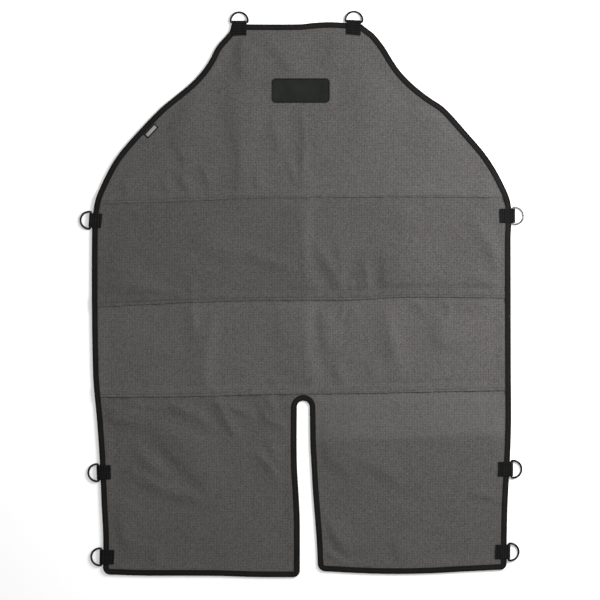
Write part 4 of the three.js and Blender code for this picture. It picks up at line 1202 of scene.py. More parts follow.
@dataclass
class Panel:
    """One cloth panel, laid as a fine sheet between two edges and over the panel below."""

    name: str
    relief: ClothRelief
    column_pitch: float = 3.9
    row_pitch: float = 3.6
    seam_pitch: float = 0.8
    seam: Seam = Seam.WAIST
    groove_half: float = 1.1
    edge_roll: float = 0.9
    edge_roll_width: float = 2.2
    lip_reach: float = 4.5
    cut_inset: float = PATTERN.tape + PATTERN.fit

    def lap_height(self, above: np.ndarray) -> np.ndarray:
        """How far the panel's lower end steps up over the one below, at heights above its edge."""
        ramp = smooth((PATTERN.lap + PATTERN.lap_ramp - above) / PATTERN.lap_ramp)
        return PATTERN.lap_rise * ramp

    def sewn(self, above: np.ndarray, share: np.ndarray) -> np.ndarray:
        """The stitched groove and the folded lower edge's roll, as a change of the face's height."""
        row = SEAM_ROWS.read(self.seam.value, share)
        dip = np.exp(-(((above - row) / self.groove_half) ** 2))
        roll = np.clip(1 - above / self.edge_roll_width, 0, 1) ** 2
        return -SEAM_GROOVES.read(self.seam.value, share) * dip - self.edge_roll * roll

    def lip(self, above: np.ndarray, share: np.ndarray) -> np.ndarray:
        """How far the folded lower edge gapes above the panel below."""
        reach = np.exp(-((above / self.lip_reach) ** 2))
        x, y = share * PATTERN.width, PATTERN.seam_y(self.seam, share)
        broken = 0.5 + 1.4 * wander(x, y, 26, 31) + 0.7 * wander(x, y, 9, 37)
        return SEAM_LIPS.read(self.seam.value, share) * np.clip(broken, 0.03, 1.5) * reach

    def seam_rows(self) -> np.ndarray:
        """Heights above the seam of the closely set rows over the lap and its ramp."""
        end = PATTERN.lap + PATTERN.lap_ramp
        return np.concatenate([np.arange(0, PATTERN.lap, self.seam_pitch),
                               np.arange(PATTERN.lap, end, 2 * self.seam_pitch)])

    def sheet(self, blocks: list[tuple[np.ndarray, np.ndarray, np.ndarray]]) -> bpy.types.Object:
        """Makes the panel's sheet from blocks of places.

        Args:
            blocks: for each block its X, Y and height above the seam that it laps over, as grids.

        Returns:
            The sheet, with both faces, in the frame's place.
        """
        points, faces, top_change = [], [], []
        for x, y, above in blocks:
            share = (x / PATTERN.half + 1) / 2
            z = self.relief.height(x, y) + self.lap_height(above)
            z += self.lip(above, share) * self.relief.held(x, y)
            faces += grid_faces(*x.shape, start=sum(len(p) for p in points))
            points.append(np.stack([x.ravel(), y.ravel(), z.ravel()], 1))
            top_change.append(self.sewn(above, share).ravel())
        under = np.concatenate(points)
        over = under.copy()
        over[:, 2] += PATTERN.cloth + np.concatenate(top_change)
        count = len(under)
        rims = []
        for x, _, _ in blocks:
            start = sum(len(p) for p in points[:len(rims)])
            rows, columns = x.shape
            rim = [start + i for i in range(columns)]
            rim += [start + j * columns + columns - 1 for j in range(1, rows)]
            rim += [start + (rows - 1) * columns + i for i in range(columns - 2, -1, -1)]
            rim += [start + j * columns for j in range(rows - 2, 0, -1)]
            rims.append(rim)
        walls = [(a, b, b + count, a + count)
                 for rim in rims for a, b in zip(rim, rim[1:] + rim[:1])]
        shell = [tuple(reversed(face)) for face in faces]
        shell += [tuple(i + count for i in face) for face in faces]
        return new_mesh(self.name, np.concatenate([under, over]), shell + walls)

    def ends(self, y_left: np.ndarray, y_right: np.ndarray) -> tuple[np.ndarray, np.ndarray]:
        """The cut edge's X at each row's two ends, inside the folded tape."""
        found = []
        for side, y in ((Side.LEFT, y_left), (Side.RIGHT, y_right)):
            x = PATTERN.side_x(side, y)
            slope = (PATTERN.side_x(side, y + 1) - PATTERN.side_x(side, y - 1)) / 2
            found.append(x - side.value * self.cut_inset * np.sqrt(1 + slope**2))
        return found[0], found[1]

    def laid(self, lower: Seam, upper: Seam | None, tucked: bool) -> list:
        """The places of a full-width panel between a seam and the next edge.

        Args:
            lower: the seam along its lower edge.
            upper: the seam above, or None for the bib's top edge.
            tucked: whether its upper edge tucks under the panel above.

        Returns:
            One block of places.
        """
        p = PATTERN
        share = np.linspace(0, 1, round(p.width / self.column_pitch))
        low = p.seam_y(lower, share)
        high = p.seam_y(upper, share) if upper else p.top_y(share) - self.cut_inset
        if tucked:
            high = high + p.lap - p.lap_tuck
        near = self.seam_rows()
        start = p.lap + p.lap_ramp
        far = np.linspace(0, 1, round((float(high.mean() - low.mean()) - start) / self.row_pitch))
        y = np.concatenate([low[None] + near[:, None],
                            (low + start)[None] * (1 - far[:, None]) + high[None] * far[:, None]])
        left, right = self.ends(y[:, 0], y[:, -1])
        x = left[:, None] + (right - left)[:, None] * share[None]
        return [(x, y, y - low[None])]

    def build(self, lower: Seam, upper: Seam | None) -> bpy.types.Object:
        """Builds a full-width panel."""
        self.seam = lower
        blocks = self.laid(lower, upper, tucked=upper is not None)
        return self.sheet(blocks)


@dataclass
class LegPanel(Panel):
    """The lowest panel: two legs that meet above the split's arch."""

    arch_rows: int = 9
    top_rows: int = 8
    corner_points: int = 12
    clear_of_laps: float = 1000.0
    join_gap: float = 2e-5

    def leg_rows(self, leg: Side, ends: tuple[float, float]) -> np.ndarray:
        """Row heights at the leg's two ends, from hem to arch top.

        Args:
            leg: the leg.
            ends: the hem's heights at the outer and the split end.

        Returns:
            Two columns of heights, one for each end.
        """
        p = PATTERN
        angle = np.linspace(0, math.pi / 2, self.corner_points)
        rows = []
        for outer, hem in zip((True, False), ends):
            radius = p.corner_radius(leg, outer) - self.cut_inset
            low = hem + self.cut_inset
            corner = low + radius * (1 - np.cos(angle))
            middle = np.linspace(corner[-1], p.arch_base, round(p.arch_base / self.row_pitch))
            turn = np.linspace(0, math.pi / 2, self.arch_rows)
            over = p.arch_base + (p.arch_radius + self.cut_inset) * np.sin(turn)
            rows.append(np.concatenate([corner, middle[1:], over[1:]]))
        return np.stack(rows, 1)

    def outer_x(self, leg: Side, y: np.ndarray, hem: float) -> np.ndarray:
        """The cut edge's X along a leg's outer side, with its rounded hem corner."""
        x = PATTERN.side_x(leg, y) - leg.value * self.cut_inset
        radius = PATTERN.corner_radius(leg, True) - self.cut_inset
        down = np.clip(hem + self.cut_inset + radius - y, 0, radius)
        return x - leg.value * (radius - np.sqrt(radius**2 - down**2))

    def split_cut_x(self, leg: Side, y: np.ndarray, hem: float) -> np.ndarray:
        """The cut edge's X along a leg's side of the split and round half of its arch."""
        p = PATTERN
        wide = p.arch_radius + self.cut_inset
        over = np.clip(y - p.arch_base, 0, wide)
        centre = p.split_centre * p.half
        drift = p.half * SPLIT_DRIFT.read(leg.key, np.minimum(y / p.arch_base, 1))
        x = centre + leg.value * np.sqrt(wide**2 - over**2) + drift
        radius = p.corner_radius(leg, False) - self.cut_inset
        down = np.clip(hem + self.cut_inset + radius - y, 0, radius)
        return x + leg.value * (radius - np.sqrt(radius**2 - down**2))

    def build_legs(self) -> bpy.types.Object:
        """Builds both legs as one sheet."""
        p = PATTERN
        blocks = []
        for leg in Side:
            is_left = leg is Side.LEFT
            hems = (float(p.hem_y(leg, 0.0)), float(p.hem_y(leg, 1.0)))
            outer_hem, inner_hem = hems if is_left else hems[::-1]
            rows = self.leg_rows(leg, (outer_hem, inner_hem))
            outer = self.outer_x(leg, rows[:, 0], outer_hem)
            inner = self.split_cut_x(leg, rows[:, 1], inner_hem)
            share = np.linspace(0, 1, round(p.half / self.column_pitch))
            starts, stops = (outer, inner) if is_left else (inner, outer)
            low, high = (rows[:, 0], rows[:, 1]) if is_left else (rows[:, 1], rows[:, 0])
            x = starts[:, None] + (stops - starts)[:, None] * share[None]
            y = low[:, None] + (high - low)[:, None] * share[None]
            bow = p.hem_y(leg, share) - (hems[0] + (hems[1] - hems[0]) * share)
            fade = 1 - np.linspace(0, 1, len(rows))[:, None]
            y = y + bow[None] * fade
            top_share = (x[-1] / p.half + 1) / 2
            seam = p.seam_y(Seam.LEGS, top_share)
            steps = np.linspace(0, 1, self.top_rows + 1)[1:, None]
            y_top = y[-1][None] * (1 - steps) + (seam + p.lap - p.lap_tuck)[None] * steps
            left_x = PATTERN.side_x(leg, y_top[:, 0 if is_left else -1]) - leg.value * self.cut_inset
            centre = p.split_centre * p.half
            near, far = (left_x, centre) if is_left else (centre, left_x)
            x_top = np.broadcast_to(near, left_x.shape)[:, None] * (1 - share[None])
            x_top = x_top + np.broadcast_to(far, left_x.shape)[:, None] * share[None]
            x, y = np.concatenate([x, x_top]), np.concatenate([y, y_top])
            blocks.append((x, y, np.full(x.shape, self.clear_of_laps)))
        obj = self.sheet(blocks)
        self.join_blocks(obj)
        return obj

    def join_blocks(self, obj: bpy.types.Object) -> None:
        """Sews the two blocks into one body: their shared wall goes and their points merge."""
        p = PATTERN
        centre = (p.split_centre * p.half + p.origin[0]) * MM
        base = (p.arch_base + p.origin[1]) * MM
        select_alone(obj)
        bpy.ops.object.mode_set(mode="EDIT")
        bpy.ops.mesh.select_mode(type="FACE")
        bpy.ops.mesh.select_all(action="DESELECT")
        bpy.ops.object.mode_set(mode="OBJECT")
        for polygon in obj.data.polygons:
            places = [obj.data.vertices[v].co for v in polygon.vertices]
            polygon.select = all(abs(c.x - centre) < 1e-6 and c.y > base for c in places)
        bpy.ops.object.mode_set(mode="EDIT")
        bpy.ops.mesh.delete(type="ONLY_FACE")
        bpy.ops.mesh.select_all(action="SELECT")
        bpy.ops.mesh.remove_doubles(threshold=self.join_gap)
        bpy.ops.object.mode_set(mode="OBJECT")


@dataclass
class Cloth:
    """The four lapped panels."""

    edge: FinishedEdge
    wardrobe: Wardrobe

    def build(self) -> None:
        """Builds and dresses the panels, from the bib down."""
        relief = ClothRelief(self.edge)
        plan = (("bib", Seam.WAIST, None), ("waist", Seam.LAP, Seam.WAIST),
                ("lap", Seam.LEGS, Seam.LAP))
        for name, lower, upper in plan:
            self.finish(Panel(f"{name}_cloth", relief).build(lower, upper), f"{name}_panel")
        self.finish(LegPanel("leg_cloth", relief).build_legs(), "leg_panel")

    def finish(self, obj: bpy.types.Object, node: str) -> None:
        panel = node.removesuffix("_panel")
        dress(obj, APRON, self.wardrobe.cloth[panel], (node,))


@dataclass
class Binding:
    """The folded tape round the whole finished edge."""

    edge: FinishedEdge
    wardrobe: Wardrobe
    nose_steps: int = 7
    nose_depth: float = 1.7
    soft_edge: float = 0.3
    ripple: float = 0.10
    ripple_lengths: tuple[float, float] = (7.3, 31)

    def section(self, top: float, bottom: float) -> tuple[np.ndarray, np.ndarray]:
        """The tape's section as ways into the cloth, heights and places across the tape.

        Args:
            top: the height of the upper leaf's inner face.
            bottom: the height of the lower leaf's inner face.

        Returns:
            The section's points, and each one's place across the tape in mm.
        """
        p = PATTERN
        soft = p.tape * self.soft_edge
        middle, tall = (top + bottom) / 2, (top - bottom) / 2 + p.tape
        turn = np.linspace(math.pi / 2, -math.pi / 2, self.nose_steps)
        nose = np.stack([self.nose_depth * (1 - np.cos(turn)), middle + tall * np.sin(turn)], 1)
        upper = [(p.leaf, top + soft), (p.leaf - soft, top + p.tape), (p.leaf * 0.75, top + p.tape),
                 (p.leaf / 2, top + p.tape), (p.leaf / 4, top + p.tape)]
        lower = [(into, bottom - (z - top)) for into, z in reversed(upper)]
        inner = [(p.leaf, bottom), (p.tape + soft, bottom), (p.tape, bottom + soft),
                 (p.tape, top - soft), (p.tape + soft, top), (p.leaf, top)]
        points = np.concatenate([upper, nose, lower, inner])
        over = points[:, 1] > middle
        return points, np.where(over, p.leaf - points[:, 0], p.leaf + points[:, 0])

    def build(self) -> None:
        """Builds and dresses the tape."""
        p, edge = PATTERN, self.edge
        step = edge.tape_step()
        bottom = p.lift - p.fit
        base = p.lift + p.cloth + p.fit
        points, uv = [], []
        for j, (place, inward) in enumerate(zip(edge.points, edge.inward)):
            section, across = self.section(base + step[j], bottom)
            short, long = (math.sin(edge.along[j] / length) for length in self.ripple_lengths)
            leaf_wave = self.ripple * short * long
            into = section[:, 0] + np.where(section[:, 0] > p.leaf * 0.9, leaf_wave, 0)
            plan = place[None] + into[:, None] * inward[None]
            points.append(np.column_stack([plan, section[:, 1]]))
            uv.append(np.column_stack([np.full(len(across), edge.along[j] * MM), across * MM]))
        size = len(points[0])
        faces = loft_faces(len(points), size, closed=True)
        obj = new_mesh("binding_tape", np.concatenate(points), faces, np.concatenate(uv))
        outward(obj)
        dress(obj, APRON, self.wardrobe.tape, ("edge_binding",))


def outward(obj: bpy.types.Object) -> None:
    """Turns a closed mesh's faces outwards."""
    select_alone(obj)
    bpy.ops.object.mode_set(mode="EDIT")
    bpy.ops.mesh.select_all(action="SELECT")
    bpy.ops.mesh.normals_make_consistent(inside=False)
    bpy.ops.object.mode_set(mode="OBJECT")


# A stitch's sections: how far along it each is, its thickness and how high it stands, in shares
STITCH_SECTIONS = ((-0.36, 0.8, 0.55), (0.0, 1.0, 1.0), (0.36, 0.8, 0.55))


@dataclass
class Stitching:
    """Rows of separate stitches, each a short bent thread, joined into one mesh a row."""

    length: float = 2.7
    pitch: float = 3.7
    thick: float = 0.34
    sides: int = 5

    def thread(self, middle: np.ndarray, way: np.ndarray, up: float) -> np.ndarray:
        """One stitch's points, with its ends dipping into the cloth.

        Args:
            middle: its middle.
            way: its direction.
            up: 1 on the face and -1 underneath.

        Returns:
            The points of its sections and two tips.
        """
        way = way / np.linalg.norm(way)
        side = np.cross([0, 0, 1.0], way)
        side /= np.linalg.norm(side)
        over = np.cross(way, side) * up
        points = []
        for along, thick, rise in STITCH_SECTIONS:
            turn = np.arange(self.sides) * 2 * math.pi / self.sides
            ring = np.outer(np.cos(turn), side) + np.outer(np.sin(turn), over)
            centre = middle + way * along * self.length + over * (rise - 0.75) * self.thick
            points.append(centre + ring * self.thick * thick)
        tips = [middle + way * s * 0.5 * self.length - over * 0.9 * self.thick for s in (-1, 1)]
        return np.concatenate([*points, tips])

    def row(self, path: np.ndarray, up: float = 1.0, closed: bool = False) -> list[np.ndarray]:
        """Stitches along a path.

        Args:
            path: the path's points.
            up: 1 on the face and -1 underneath.
            closed: whether the path meets its start.

        Returns:
            Each stitch's points.
        """
        if closed:
            path = np.concatenate([path, path[:1]])
        steps = np.linalg.norm(np.diff(path, axis=0), axis=1)
        along = np.concatenate([[0], np.cumsum(steps)])
        count = max(1, int(along[-1] / self.pitch))
        places = (np.arange(count) + 0.5) * along[-1] / count
        middles, ahead, behind = (
            np.stack([np.interp(places + shift, along, path[:, i]) for i in range(3)], 1)
            for shift in (0, 1, -1))
        return [self.thread(m, a - b, up) for m, a, b in zip(middles, ahead, behind)]

    def build(self, name: str, stitches: list[np.ndarray], slot: str,
              material: bpy.types.Material) -> None:
        """Joins stitches into one mesh.

        Args:
            name: the mesh's name.
            stitches: each stitch's points.
            slot: not used.
            material: the thread's material.
        """
        size = self.sides
        one = [(j * size + i, j * size + (i + 1) % size, (j + 1) * size + (i + 1) % size,
                (j + 1) * size + i) for j in range(2) for i in range(size)]
        low, high = 3 * size, 3 * size + 1
        one += [(low, (i + 1) % size, i) for i in range(size)]
        one += [(high, 2 * size + i, 2 * size + (i + 1) % size) for i in range(size)]
        count = 3 * size + 2
        faces = [tuple(i + k * count for i in face) for k in range(len(stitches)) for face in one]
        obj = new_mesh(name, np.concatenate(stitches), faces)
        outward(obj)
        dress(obj, APRON, material)


@dataclass
class Sewing:
    """Every row of stitches on the binding and the seams."""

    edge: FinishedEdge
    wardrobe: Wardrobe
    from_leaf: float = 2.0
    sink: float = 0.05
    seam_sink: float = 0.12
    seam_length: float = 3.0
    seam_pitch: float = 4.4
    seam_thick: float = 0.42
    seam_points: int = 700

    def build(self) -> None:
        """Builds the rows of stitches."""
        p = PATTERN
        stitching = Stitching()
        plan = self.edge.offset(p.leaf - self.from_leaf)
        step = self.edge.tape_step()
        over = p.lift + p.cloth + p.fit + p.tape + self.sink
        under = p.lift - p.fit - p.tape - self.sink
        face = stitching.row(np.column_stack([plan, over + step]), 1, closed=True)
        back = stitching.row(np.column_stack([plan, np.full(len(plan), under)]), -1, closed=True)
        stitching.build("binding_stitches", face, "tape", self.wardrobe.thread)
        stitching.build("binding_stitches_under", back, "tape", self.wardrobe.thread)
        self.seams()

    def seams(self) -> None:
        """Builds the stitched row of each lapped seam, on the upper panel's face."""
        p = PATTERN
        relief = ClothRelief(self.edge)
        stitching = Stitching(self.seam_length, self.seam_pitch, self.seam_thick)
        rows = []
        share = np.linspace(0, 1, self.seam_points)
        for seam in Seam:
            panel = Panel("guide", relief, seam=seam)
            above = SEAM_ROWS.read(seam.value, share)
            y = p.seam_y(seam, share) + above
            left = float(p.side_x(Side.LEFT, y[0]))
            right = float(p.side_x(Side.RIGHT, y[-1]))
            x = left + (right - left) * share
            keep = (x > left + p.leaf + 1) & (x < right - p.leaf - 1)
            x, y, above = x[keep], y[keep], above[keep]
            place = (x / p.half + 1) / 2
            z = relief.height(x[None], y[None])[0] + p.lap_rise + p.cloth
            z += panel.sewn(above, place) + panel.lip(above, place) * relief.held(x, y)
            rows += stitching.row(np.column_stack([x, y, z + self.seam_sink]))
        stitching.build("seam_stitches", rows, "cloth", self.wardrobe.seam_thread)


# How much longer or shorter than the common length some tabs are sewn, in mm
TAB_EXTRA = {"waist_left": -5.0, "waist_right": 1.2, "thigh_left": -2.0, "hem_left": -1.0}


@dataclass
class Fastener:
    """A webbing tab and its D-ring, placed by the ring's joint."""

    name: str
    wardrobe: Wardrobe
    webbing_width: float = 31.8
    reach: float = 24.7
    wire: float = 4.4
    swell: float = 0.04
    side_play: float = 0.7
    depth: float = 22.4
    bend: float = 3.0
    standoff: float = 1.8
    wire_sides: int = 20
    rib_count: int = 11
    rib_rise: float = 0.09
    ridge: float = 0.32
    ridge_pitch: float = 5.6
    strip_points: int = 45
    melted: float = 0.75
    ragged: tuple[float, float] = (-1.0, 1.5)
    ragged_slant: float = 1.2
    box_side: float = 2.6
    box_inner: float = 0.6
    box_outer: float = 1.6
    box_sink: float = 0.02
    box_under: float = 0.46
    bar_steps: int = 6
    bend_steps: int = 8
    bow_steps: int = 44

    def __post_init__(self) -> None:
        """Finds the ring's place and the way out of the apron from its joint."""
        joint = next(j for j in frame["joints"] if j["child"] == f"ring_{self.name}")
        axis = Vector(joint["axis"])
        self.pivot = Vector(joint["pos_m"])
        out = Vector((0, 0, 1)).cross(axis)
        turn = Matrix((out, Vector((0, 0, 1)).cross(out), Vector((0, 0, 1)))).transposed()
        self.turn = turn.to_4x4()
        self.inner = self.wire / 2 + PATTERN.fit
        self.outer = self.inner + PATTERN.webbing
        self.bar_out = self.wire / 2 + self.standoff
        self.seed = sum(ord(letter) for letter in self.name)
        self.reach += TAB_EXTRA.get(self.name, 0.0)

    @property
    def bright(self) -> bool:
        """Whether this is the one ring painted bright, for the light that it reflects."""
        return self.name == "waist_right"

    def path(self) -> np.ndarray:
        """The webbing's middle line from its upper end, round the bar, to its lower end."""
        p = PATTERN
        thick = p.webbing
        above = p.lift + p.cloth + p.fit + p.tape + p.fit + thick / 2
        drape = 0.0 if self.name.startswith("top") else p.tape + p.fit * 0.5
        x = np.linspace(-self.reach, -1.0, round(self.reach / 0.8))
        down = drape * (1 - smooth((x + p.leaf + 6.0) / 5.0))
        fade = smooth((x + self.reach) / 2) * smooth(-x / 3)
        waves = self.ridge * fade * (np.cos(2 * math.pi * x / self.ridge_pitch + self.seed) - 0.4)
        upper = list(zip(x, above - down + waves * np.where(x < -p.leaf, 1, 0.8)))
        loop_top = 2 * self.outer - thick / 2
        upper += [(-1.0 + (self.bar_out + 1.0) * t, above + (loop_top - above) * float(smooth(t)))
                  for t in np.linspace(0.15, 0.9, 5)]
        turn = np.linspace(math.pi / 2, -math.pi / 2, 15)
        radius = self.inner + thick / 2
        loop = np.stack([self.bar_out + radius * np.cos(turn), self.outer + radius * np.sin(turn)], 1)
        lower = [(x, thick / 2) for x in np.linspace(self.bar_out - 0.8, -self.reach, 22)]
        return np.concatenate([upper, loop, lower])

    def strip_section(self) -> tuple[np.ndarray, np.ndarray]:
        """The webbing's section: places across, and heights with ribs and rolled selvedges."""
        half, thick = self.webbing_width / 2, PATTERN.webbing / 2
        y = np.linspace(-1, 1, self.strip_points)
        body = np.sqrt(np.clip(1 - np.abs(y) ** 14, 0, 1)) * thick
        ribs = self.rib_rise * np.abs(np.cos(y * self.rib_count * math.pi / 2))
        top = body - self.rib_rise + ribs
        across = np.concatenate([y * half, y[::-1] * half])
        height = np.concatenate([top, -top[::-1]])
        return across, height

    def webbing(self) -> bpy.types.Object:
        """Builds the folded webbing with its melted, uneven ends."""
        line = self.path()
        ahead = np.gradient(line, axis=0)
        ahead /= np.linalg.norm(ahead, axis=1)[:, None]
        normal = np.stack([-ahead[:, 1], ahead[:, 0]], 1)
        along = np.concatenate([[0], np.cumsum(np.linalg.norm(np.diff(line, axis=0), axis=1))])
        across, height = self.strip_section()
        rng = np.random.default_rng(self.seed)
        count, slant = len(across) // 2, self.ragged_slant
        ragged = {end: rng.uniform(*self.ragged, count)
                  + np.linspace(-1, 1, count) * rng.uniform(-slant, slant)
                  for end in (0, -1)}
        points, uv = [], []
        for j, (place, out) in enumerate(zip(line, normal)):
            end = {0: 0, len(line) - 1: -1}.get(j)
            melt = 1.0 if end is None else self.melted
            pull = np.zeros(len(across))
            if end is not None:
                row = np.convolve(ragged[end], [0.25, 0.5, 0.25], mode="same")
                pull = np.concatenate([row, row[::-1]])
            width = 1 + 0.004 * math.sin(along[j] / 6 + self.seed)
            x = place[0] + out[0] * height * melt - pull
            z = place[1] + out[1] * height * melt
            points.append(np.stack([x, across * width, z], 1))
            uv.append(np.stack([np.full(len(across), along[j] * MM), across * MM], 1))
        points = np.concatenate(points)
        faces = loft_faces(len(line), len(across), closed=False)
        placed = self.placed(points)
        obj = new_mesh(f"webbing_{self.name}", placed, faces, np.concatenate(uv), place=False)
        outward(obj)
        return obj

    def placed(self, points: np.ndarray) -> np.ndarray:
        """Moves points in mm from the tab's own place to the frame's."""
        to_bar = Matrix.Translation((-self.bar_out * MM, 0, -self.pivot.z))
        matrix = np.array(Matrix.Translation(self.pivot) @ self.turn @ to_bar)
        return points @ matrix[:3, :3].T + matrix[:3, 3] / MM

    def tab_stitches(self) -> list[np.ndarray]:
        """The tab's box of stitches over the binding, on its face and underneath."""
        p = PATTERN
        stitching = Stitching(length=2.5, pitch=3.3, thick=0.36)
        half = self.webbing_width / 2 - self.box_side
        top = p.lift + p.cloth + p.fit + p.tape + p.fit + p.webbing + self.box_sink
        first, last = -p.leaf + self.box_inner, -self.box_outer
        corners = [(first, -half), (first, half), (last, half), (last, -half), (first, -half)]
        rows = []
        for z, up in ((top, 1.0), (self.box_under, -1.0)):
            for a, b in zip(corners, corners[1:]):
                line = np.linspace((*a, z), (*b, z), 30)
                rows += stitching.row(line, up)
            middle = (first + last) / 2
            rows += stitching.row(np.linspace((middle, -half, z), (middle, half, z), 30), up)
        return [self.placed(points) for points in rows]

    def ring(self) -> bpy.types.Object:
        """Models the D-ring by hand: a wire's end is extruded along the bar, spun round each bend,
        drawn out along the legs and spun round the bow.

        Returns:
            The ring's object.
        """
        half = self.webbing_width / 2 + self.side_play + self.wire / 2
        bow = self.depth - half
        bpy.ops.object.select_all(action="DESELECT")
        bpy.ops.mesh.primitive_circle_add(
            vertices=self.wire_sides, radius=(self.wire / 2 + self.swell) * MM,
            location=(0, 0, 0), rotation=(math.pi / 2, 0, 0))
        obj = bpy.context.active_object
        obj.name = obj.data.name = f"d_ring_{self.name}"
        bpy.ops.object.mode_set(mode="EDIT")
        bpy.ops.mesh.select_all(action="SELECT")

        def draw(x: float, y: float) -> None:
            """Extrudes the wire's end by a straight length in mm."""
            bpy.ops.mesh.extrude_region_move(TRANSFORM_OT_translate={"value": (x * MM, y * MM, 0)})

        def bend(angle: float, steps: int, x: float, y: float) -> None:
            """Spins the wire's end clockwise round a centre in mm."""
            bpy.ops.mesh.spin(steps=steps, angle=angle, center=(x * MM, y * MM, 0), axis=(0, 0, 1))

        straight = half - self.bend
        for _ in range(self.bar_steps):
            draw(0, straight / self.bar_steps)
        bend(math.pi / 2, self.bend_steps, self.bend, straight)
        draw(bow - self.bend, 0)
        bend(math.pi, self.bow_steps, bow, 0)
        draw(self.bend - bow, 0)
        bend(math.pi / 2, self.bend_steps, self.bend, -straight)
        for _ in range(self.bar_steps):
            draw(0, straight / self.bar_steps)
        bpy.ops.mesh.select_all(action="SELECT")
        bpy.ops.mesh.remove_doubles(threshold=1e-5)
        bpy.ops.mesh.normals_make_consistent(inside=False)
        bpy.ops.object.mode_set(mode="OBJECT")
        obj.data.shade_smooth()
        tilt = math.asin((self.outer - self.wire / 2 - self.swell) / self.depth)
        obj.data.transform(obj.matrix_world)
        obj.matrix_world = Matrix.Identity(4)
        place = Matrix.Translation(self.pivot) @ self.turn @ Matrix.Rotation(tilt, 4, "Y")
        obj.data.transform(place)
        return obj

    def build(self) -> list[np.ndarray]:
        """Builds and dresses the tab and the ring.

        Returns:
            The tab's stitches, which are joined with the other tabs'.
        """
        w = self.wardrobe
        dress(self.webbing(), APRON, w.webbing, (f"tab_{self.name}",))
        # The one ring painted bright for its reflection, the others painted dark
        metal, slot = (w.bright_metal, "bright_metal") if self.bright else (w.black_metal, "black_metal")
        dress(self.ring(), f"ring_{self.name}", metal, (f"ring_{self.name}",))
        return self.tab_stitches()


class Plate:
    """A flat plate with rounded corners, modelled from a cube."""

    def __init__(self, name: str, low: Vector, high: Vector, corner: float) -> None:
        """Adds the cube at its size and place and rounds its upright edges.

        Args:
            name: the plate's name.
            low: its lowest corner in metres.
            high: its highest corner in metres.
            corner: its corners' radius in metres, 0 for square corners.
        """
        bpy.ops.object.select_all(action="DESELECT")
        bpy.ops.mesh.primitive_cube_add(size=1, location=(low + high) / 2)
        self.obj = bpy.context.active_object
        self.obj.name = self.obj.data.name = name
        self.obj.scale = high - low
        bpy.ops.object.transform_apply(location=True, rotation=True, scale=True)
        self.edit()
        bpy.ops.mesh.select_all(action="DESELECT")
        self.done()
        if corner == 0:
            return
        for edge in self.obj.data.edges:
            a, b = (self.obj.data.vertices[v].co for v in edge.vertices)
            edge.select = abs(a.z - b.z) > 1e-6
        self.edit()
        bpy.ops.mesh.select_mode(type="EDGE")
        bpy.ops.mesh.bevel(offset=corner, segments=8, affect="EDGES")
        self.done()

    def edit(self) -> None:
        """Opens the plate for editing."""
        bpy.context.view_layer.objects.active = self.obj
        bpy.ops.object.mode_set(mode="EDIT")

    def done(self) -> None:
        """Closes the plate."""
        bpy.ops.object.mode_set(mode="OBJECT")

    def select_top(self) -> None:
        """Selects the plate's top face alone."""
        self.edit()
        bpy.ops.mesh.select_mode(type="FACE")
        bpy.ops.mesh.select_all(action="DESELECT")
        self.done()
        top = max(self.obj.data.polygons, key=lambda face: (face.normal.z > 0.9) * face.area)
        top.select = True
        self.edit()

    def frame_top(self, rim: float, shift: float) -> None:
        """Insets the top face, moves it and gives it the plate's second material.

        Args:
            rim: the frame's width in metres.
            shift: how far the inner face moves up.
        """
        self.select_top()
        bpy.ops.mesh.inset(thickness=rim, depth=0)
        bpy.ops.mesh.extrude_region_move(TRANSFORM_OT_translate={"value": (0, 0, shift)})
        self.obj.active_material_index = 1
        bpy.ops.object.material_slot_assign()
        self.done()

    def soften(self, width: float, segments: int = 3) -> None:
        """Rounds every remaining sharp edge."""
        apply_modifier(self.obj, "BEVEL", width=width, segments=segments, limit_method="ANGLE",
                       angle_limit=math.radians(40))
        self.obj.data.shade_smooth()


@dataclass
class ChestPatch:
    """The moulded patch on the bib: a bare face inside a raised rim."""

    wardrobe: Wardrobe
    corner: float = 0.009
    rim: float = 0.0026
    recess: float = -0.0005

    def build(self) -> None:
        """Builds and dresses the patch."""
        low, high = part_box("chest_patch")
        plate = Plate("bib_patch", Vector(low), Vector(high), self.corner)
        plate.obj.data.materials.append(self.wardrobe.patch_rim)
        plate.obj.data.materials.append(self.wardrobe.patch_face)
        plate.frame_top(self.rim, self.recess)
        plate.soften(0.00035)
        dress(plate.obj, APRON, self.wardrobe.patch_rim, ("chest_patch",))


@dataclass
class SideTag:
    """The small woven label along the left armhole: a pale face in a dark frame."""

    wardrobe: Wardrobe
    length: float = 0.034
    depth: float = 0.013
    corner: float = 0
    frame_width: float = 0.0028
    face_rise: float = 0.00008

    def build(self) -> None:
        """Builds the tag flat at the origin, turns it to the solid's place and dresses it."""
        low, high = (Vector(c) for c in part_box("side_tag"))
        thick = high.z - low.z
        half = Vector((self.length / 2, self.depth / 2, thick / 2))
        plate = Plate("armhole_tag", -half, half, self.corner)
        plate.obj.data.materials.append(self.wardrobe.tag_frame)
        plate.obj.data.materials.append(self.wardrobe.tag_face)
        plate.frame_top(self.frame_width, self.face_rise)
        plate.soften(0.00012, 2)
        points = np.array([v.co for v in frame["nodes"]["side_tag"].data.vertices])[:, :2]
        middle = (points.max(0) + points.min(0)) / 2
        spread = points - points.mean(0)
        way = np.linalg.svd(spread, full_matrices=False)[2][0]
        angle = math.atan2(way[1], way[0])
        place = Matrix.Translation((*middle, (low.z + high.z) / 2)) @ Matrix.Rotation(angle, 4, "Z")
        plate.obj.data.transform(place)
        dress(plate.obj, APRON, self.wardrobe.tag_frame, ("side_tag",))


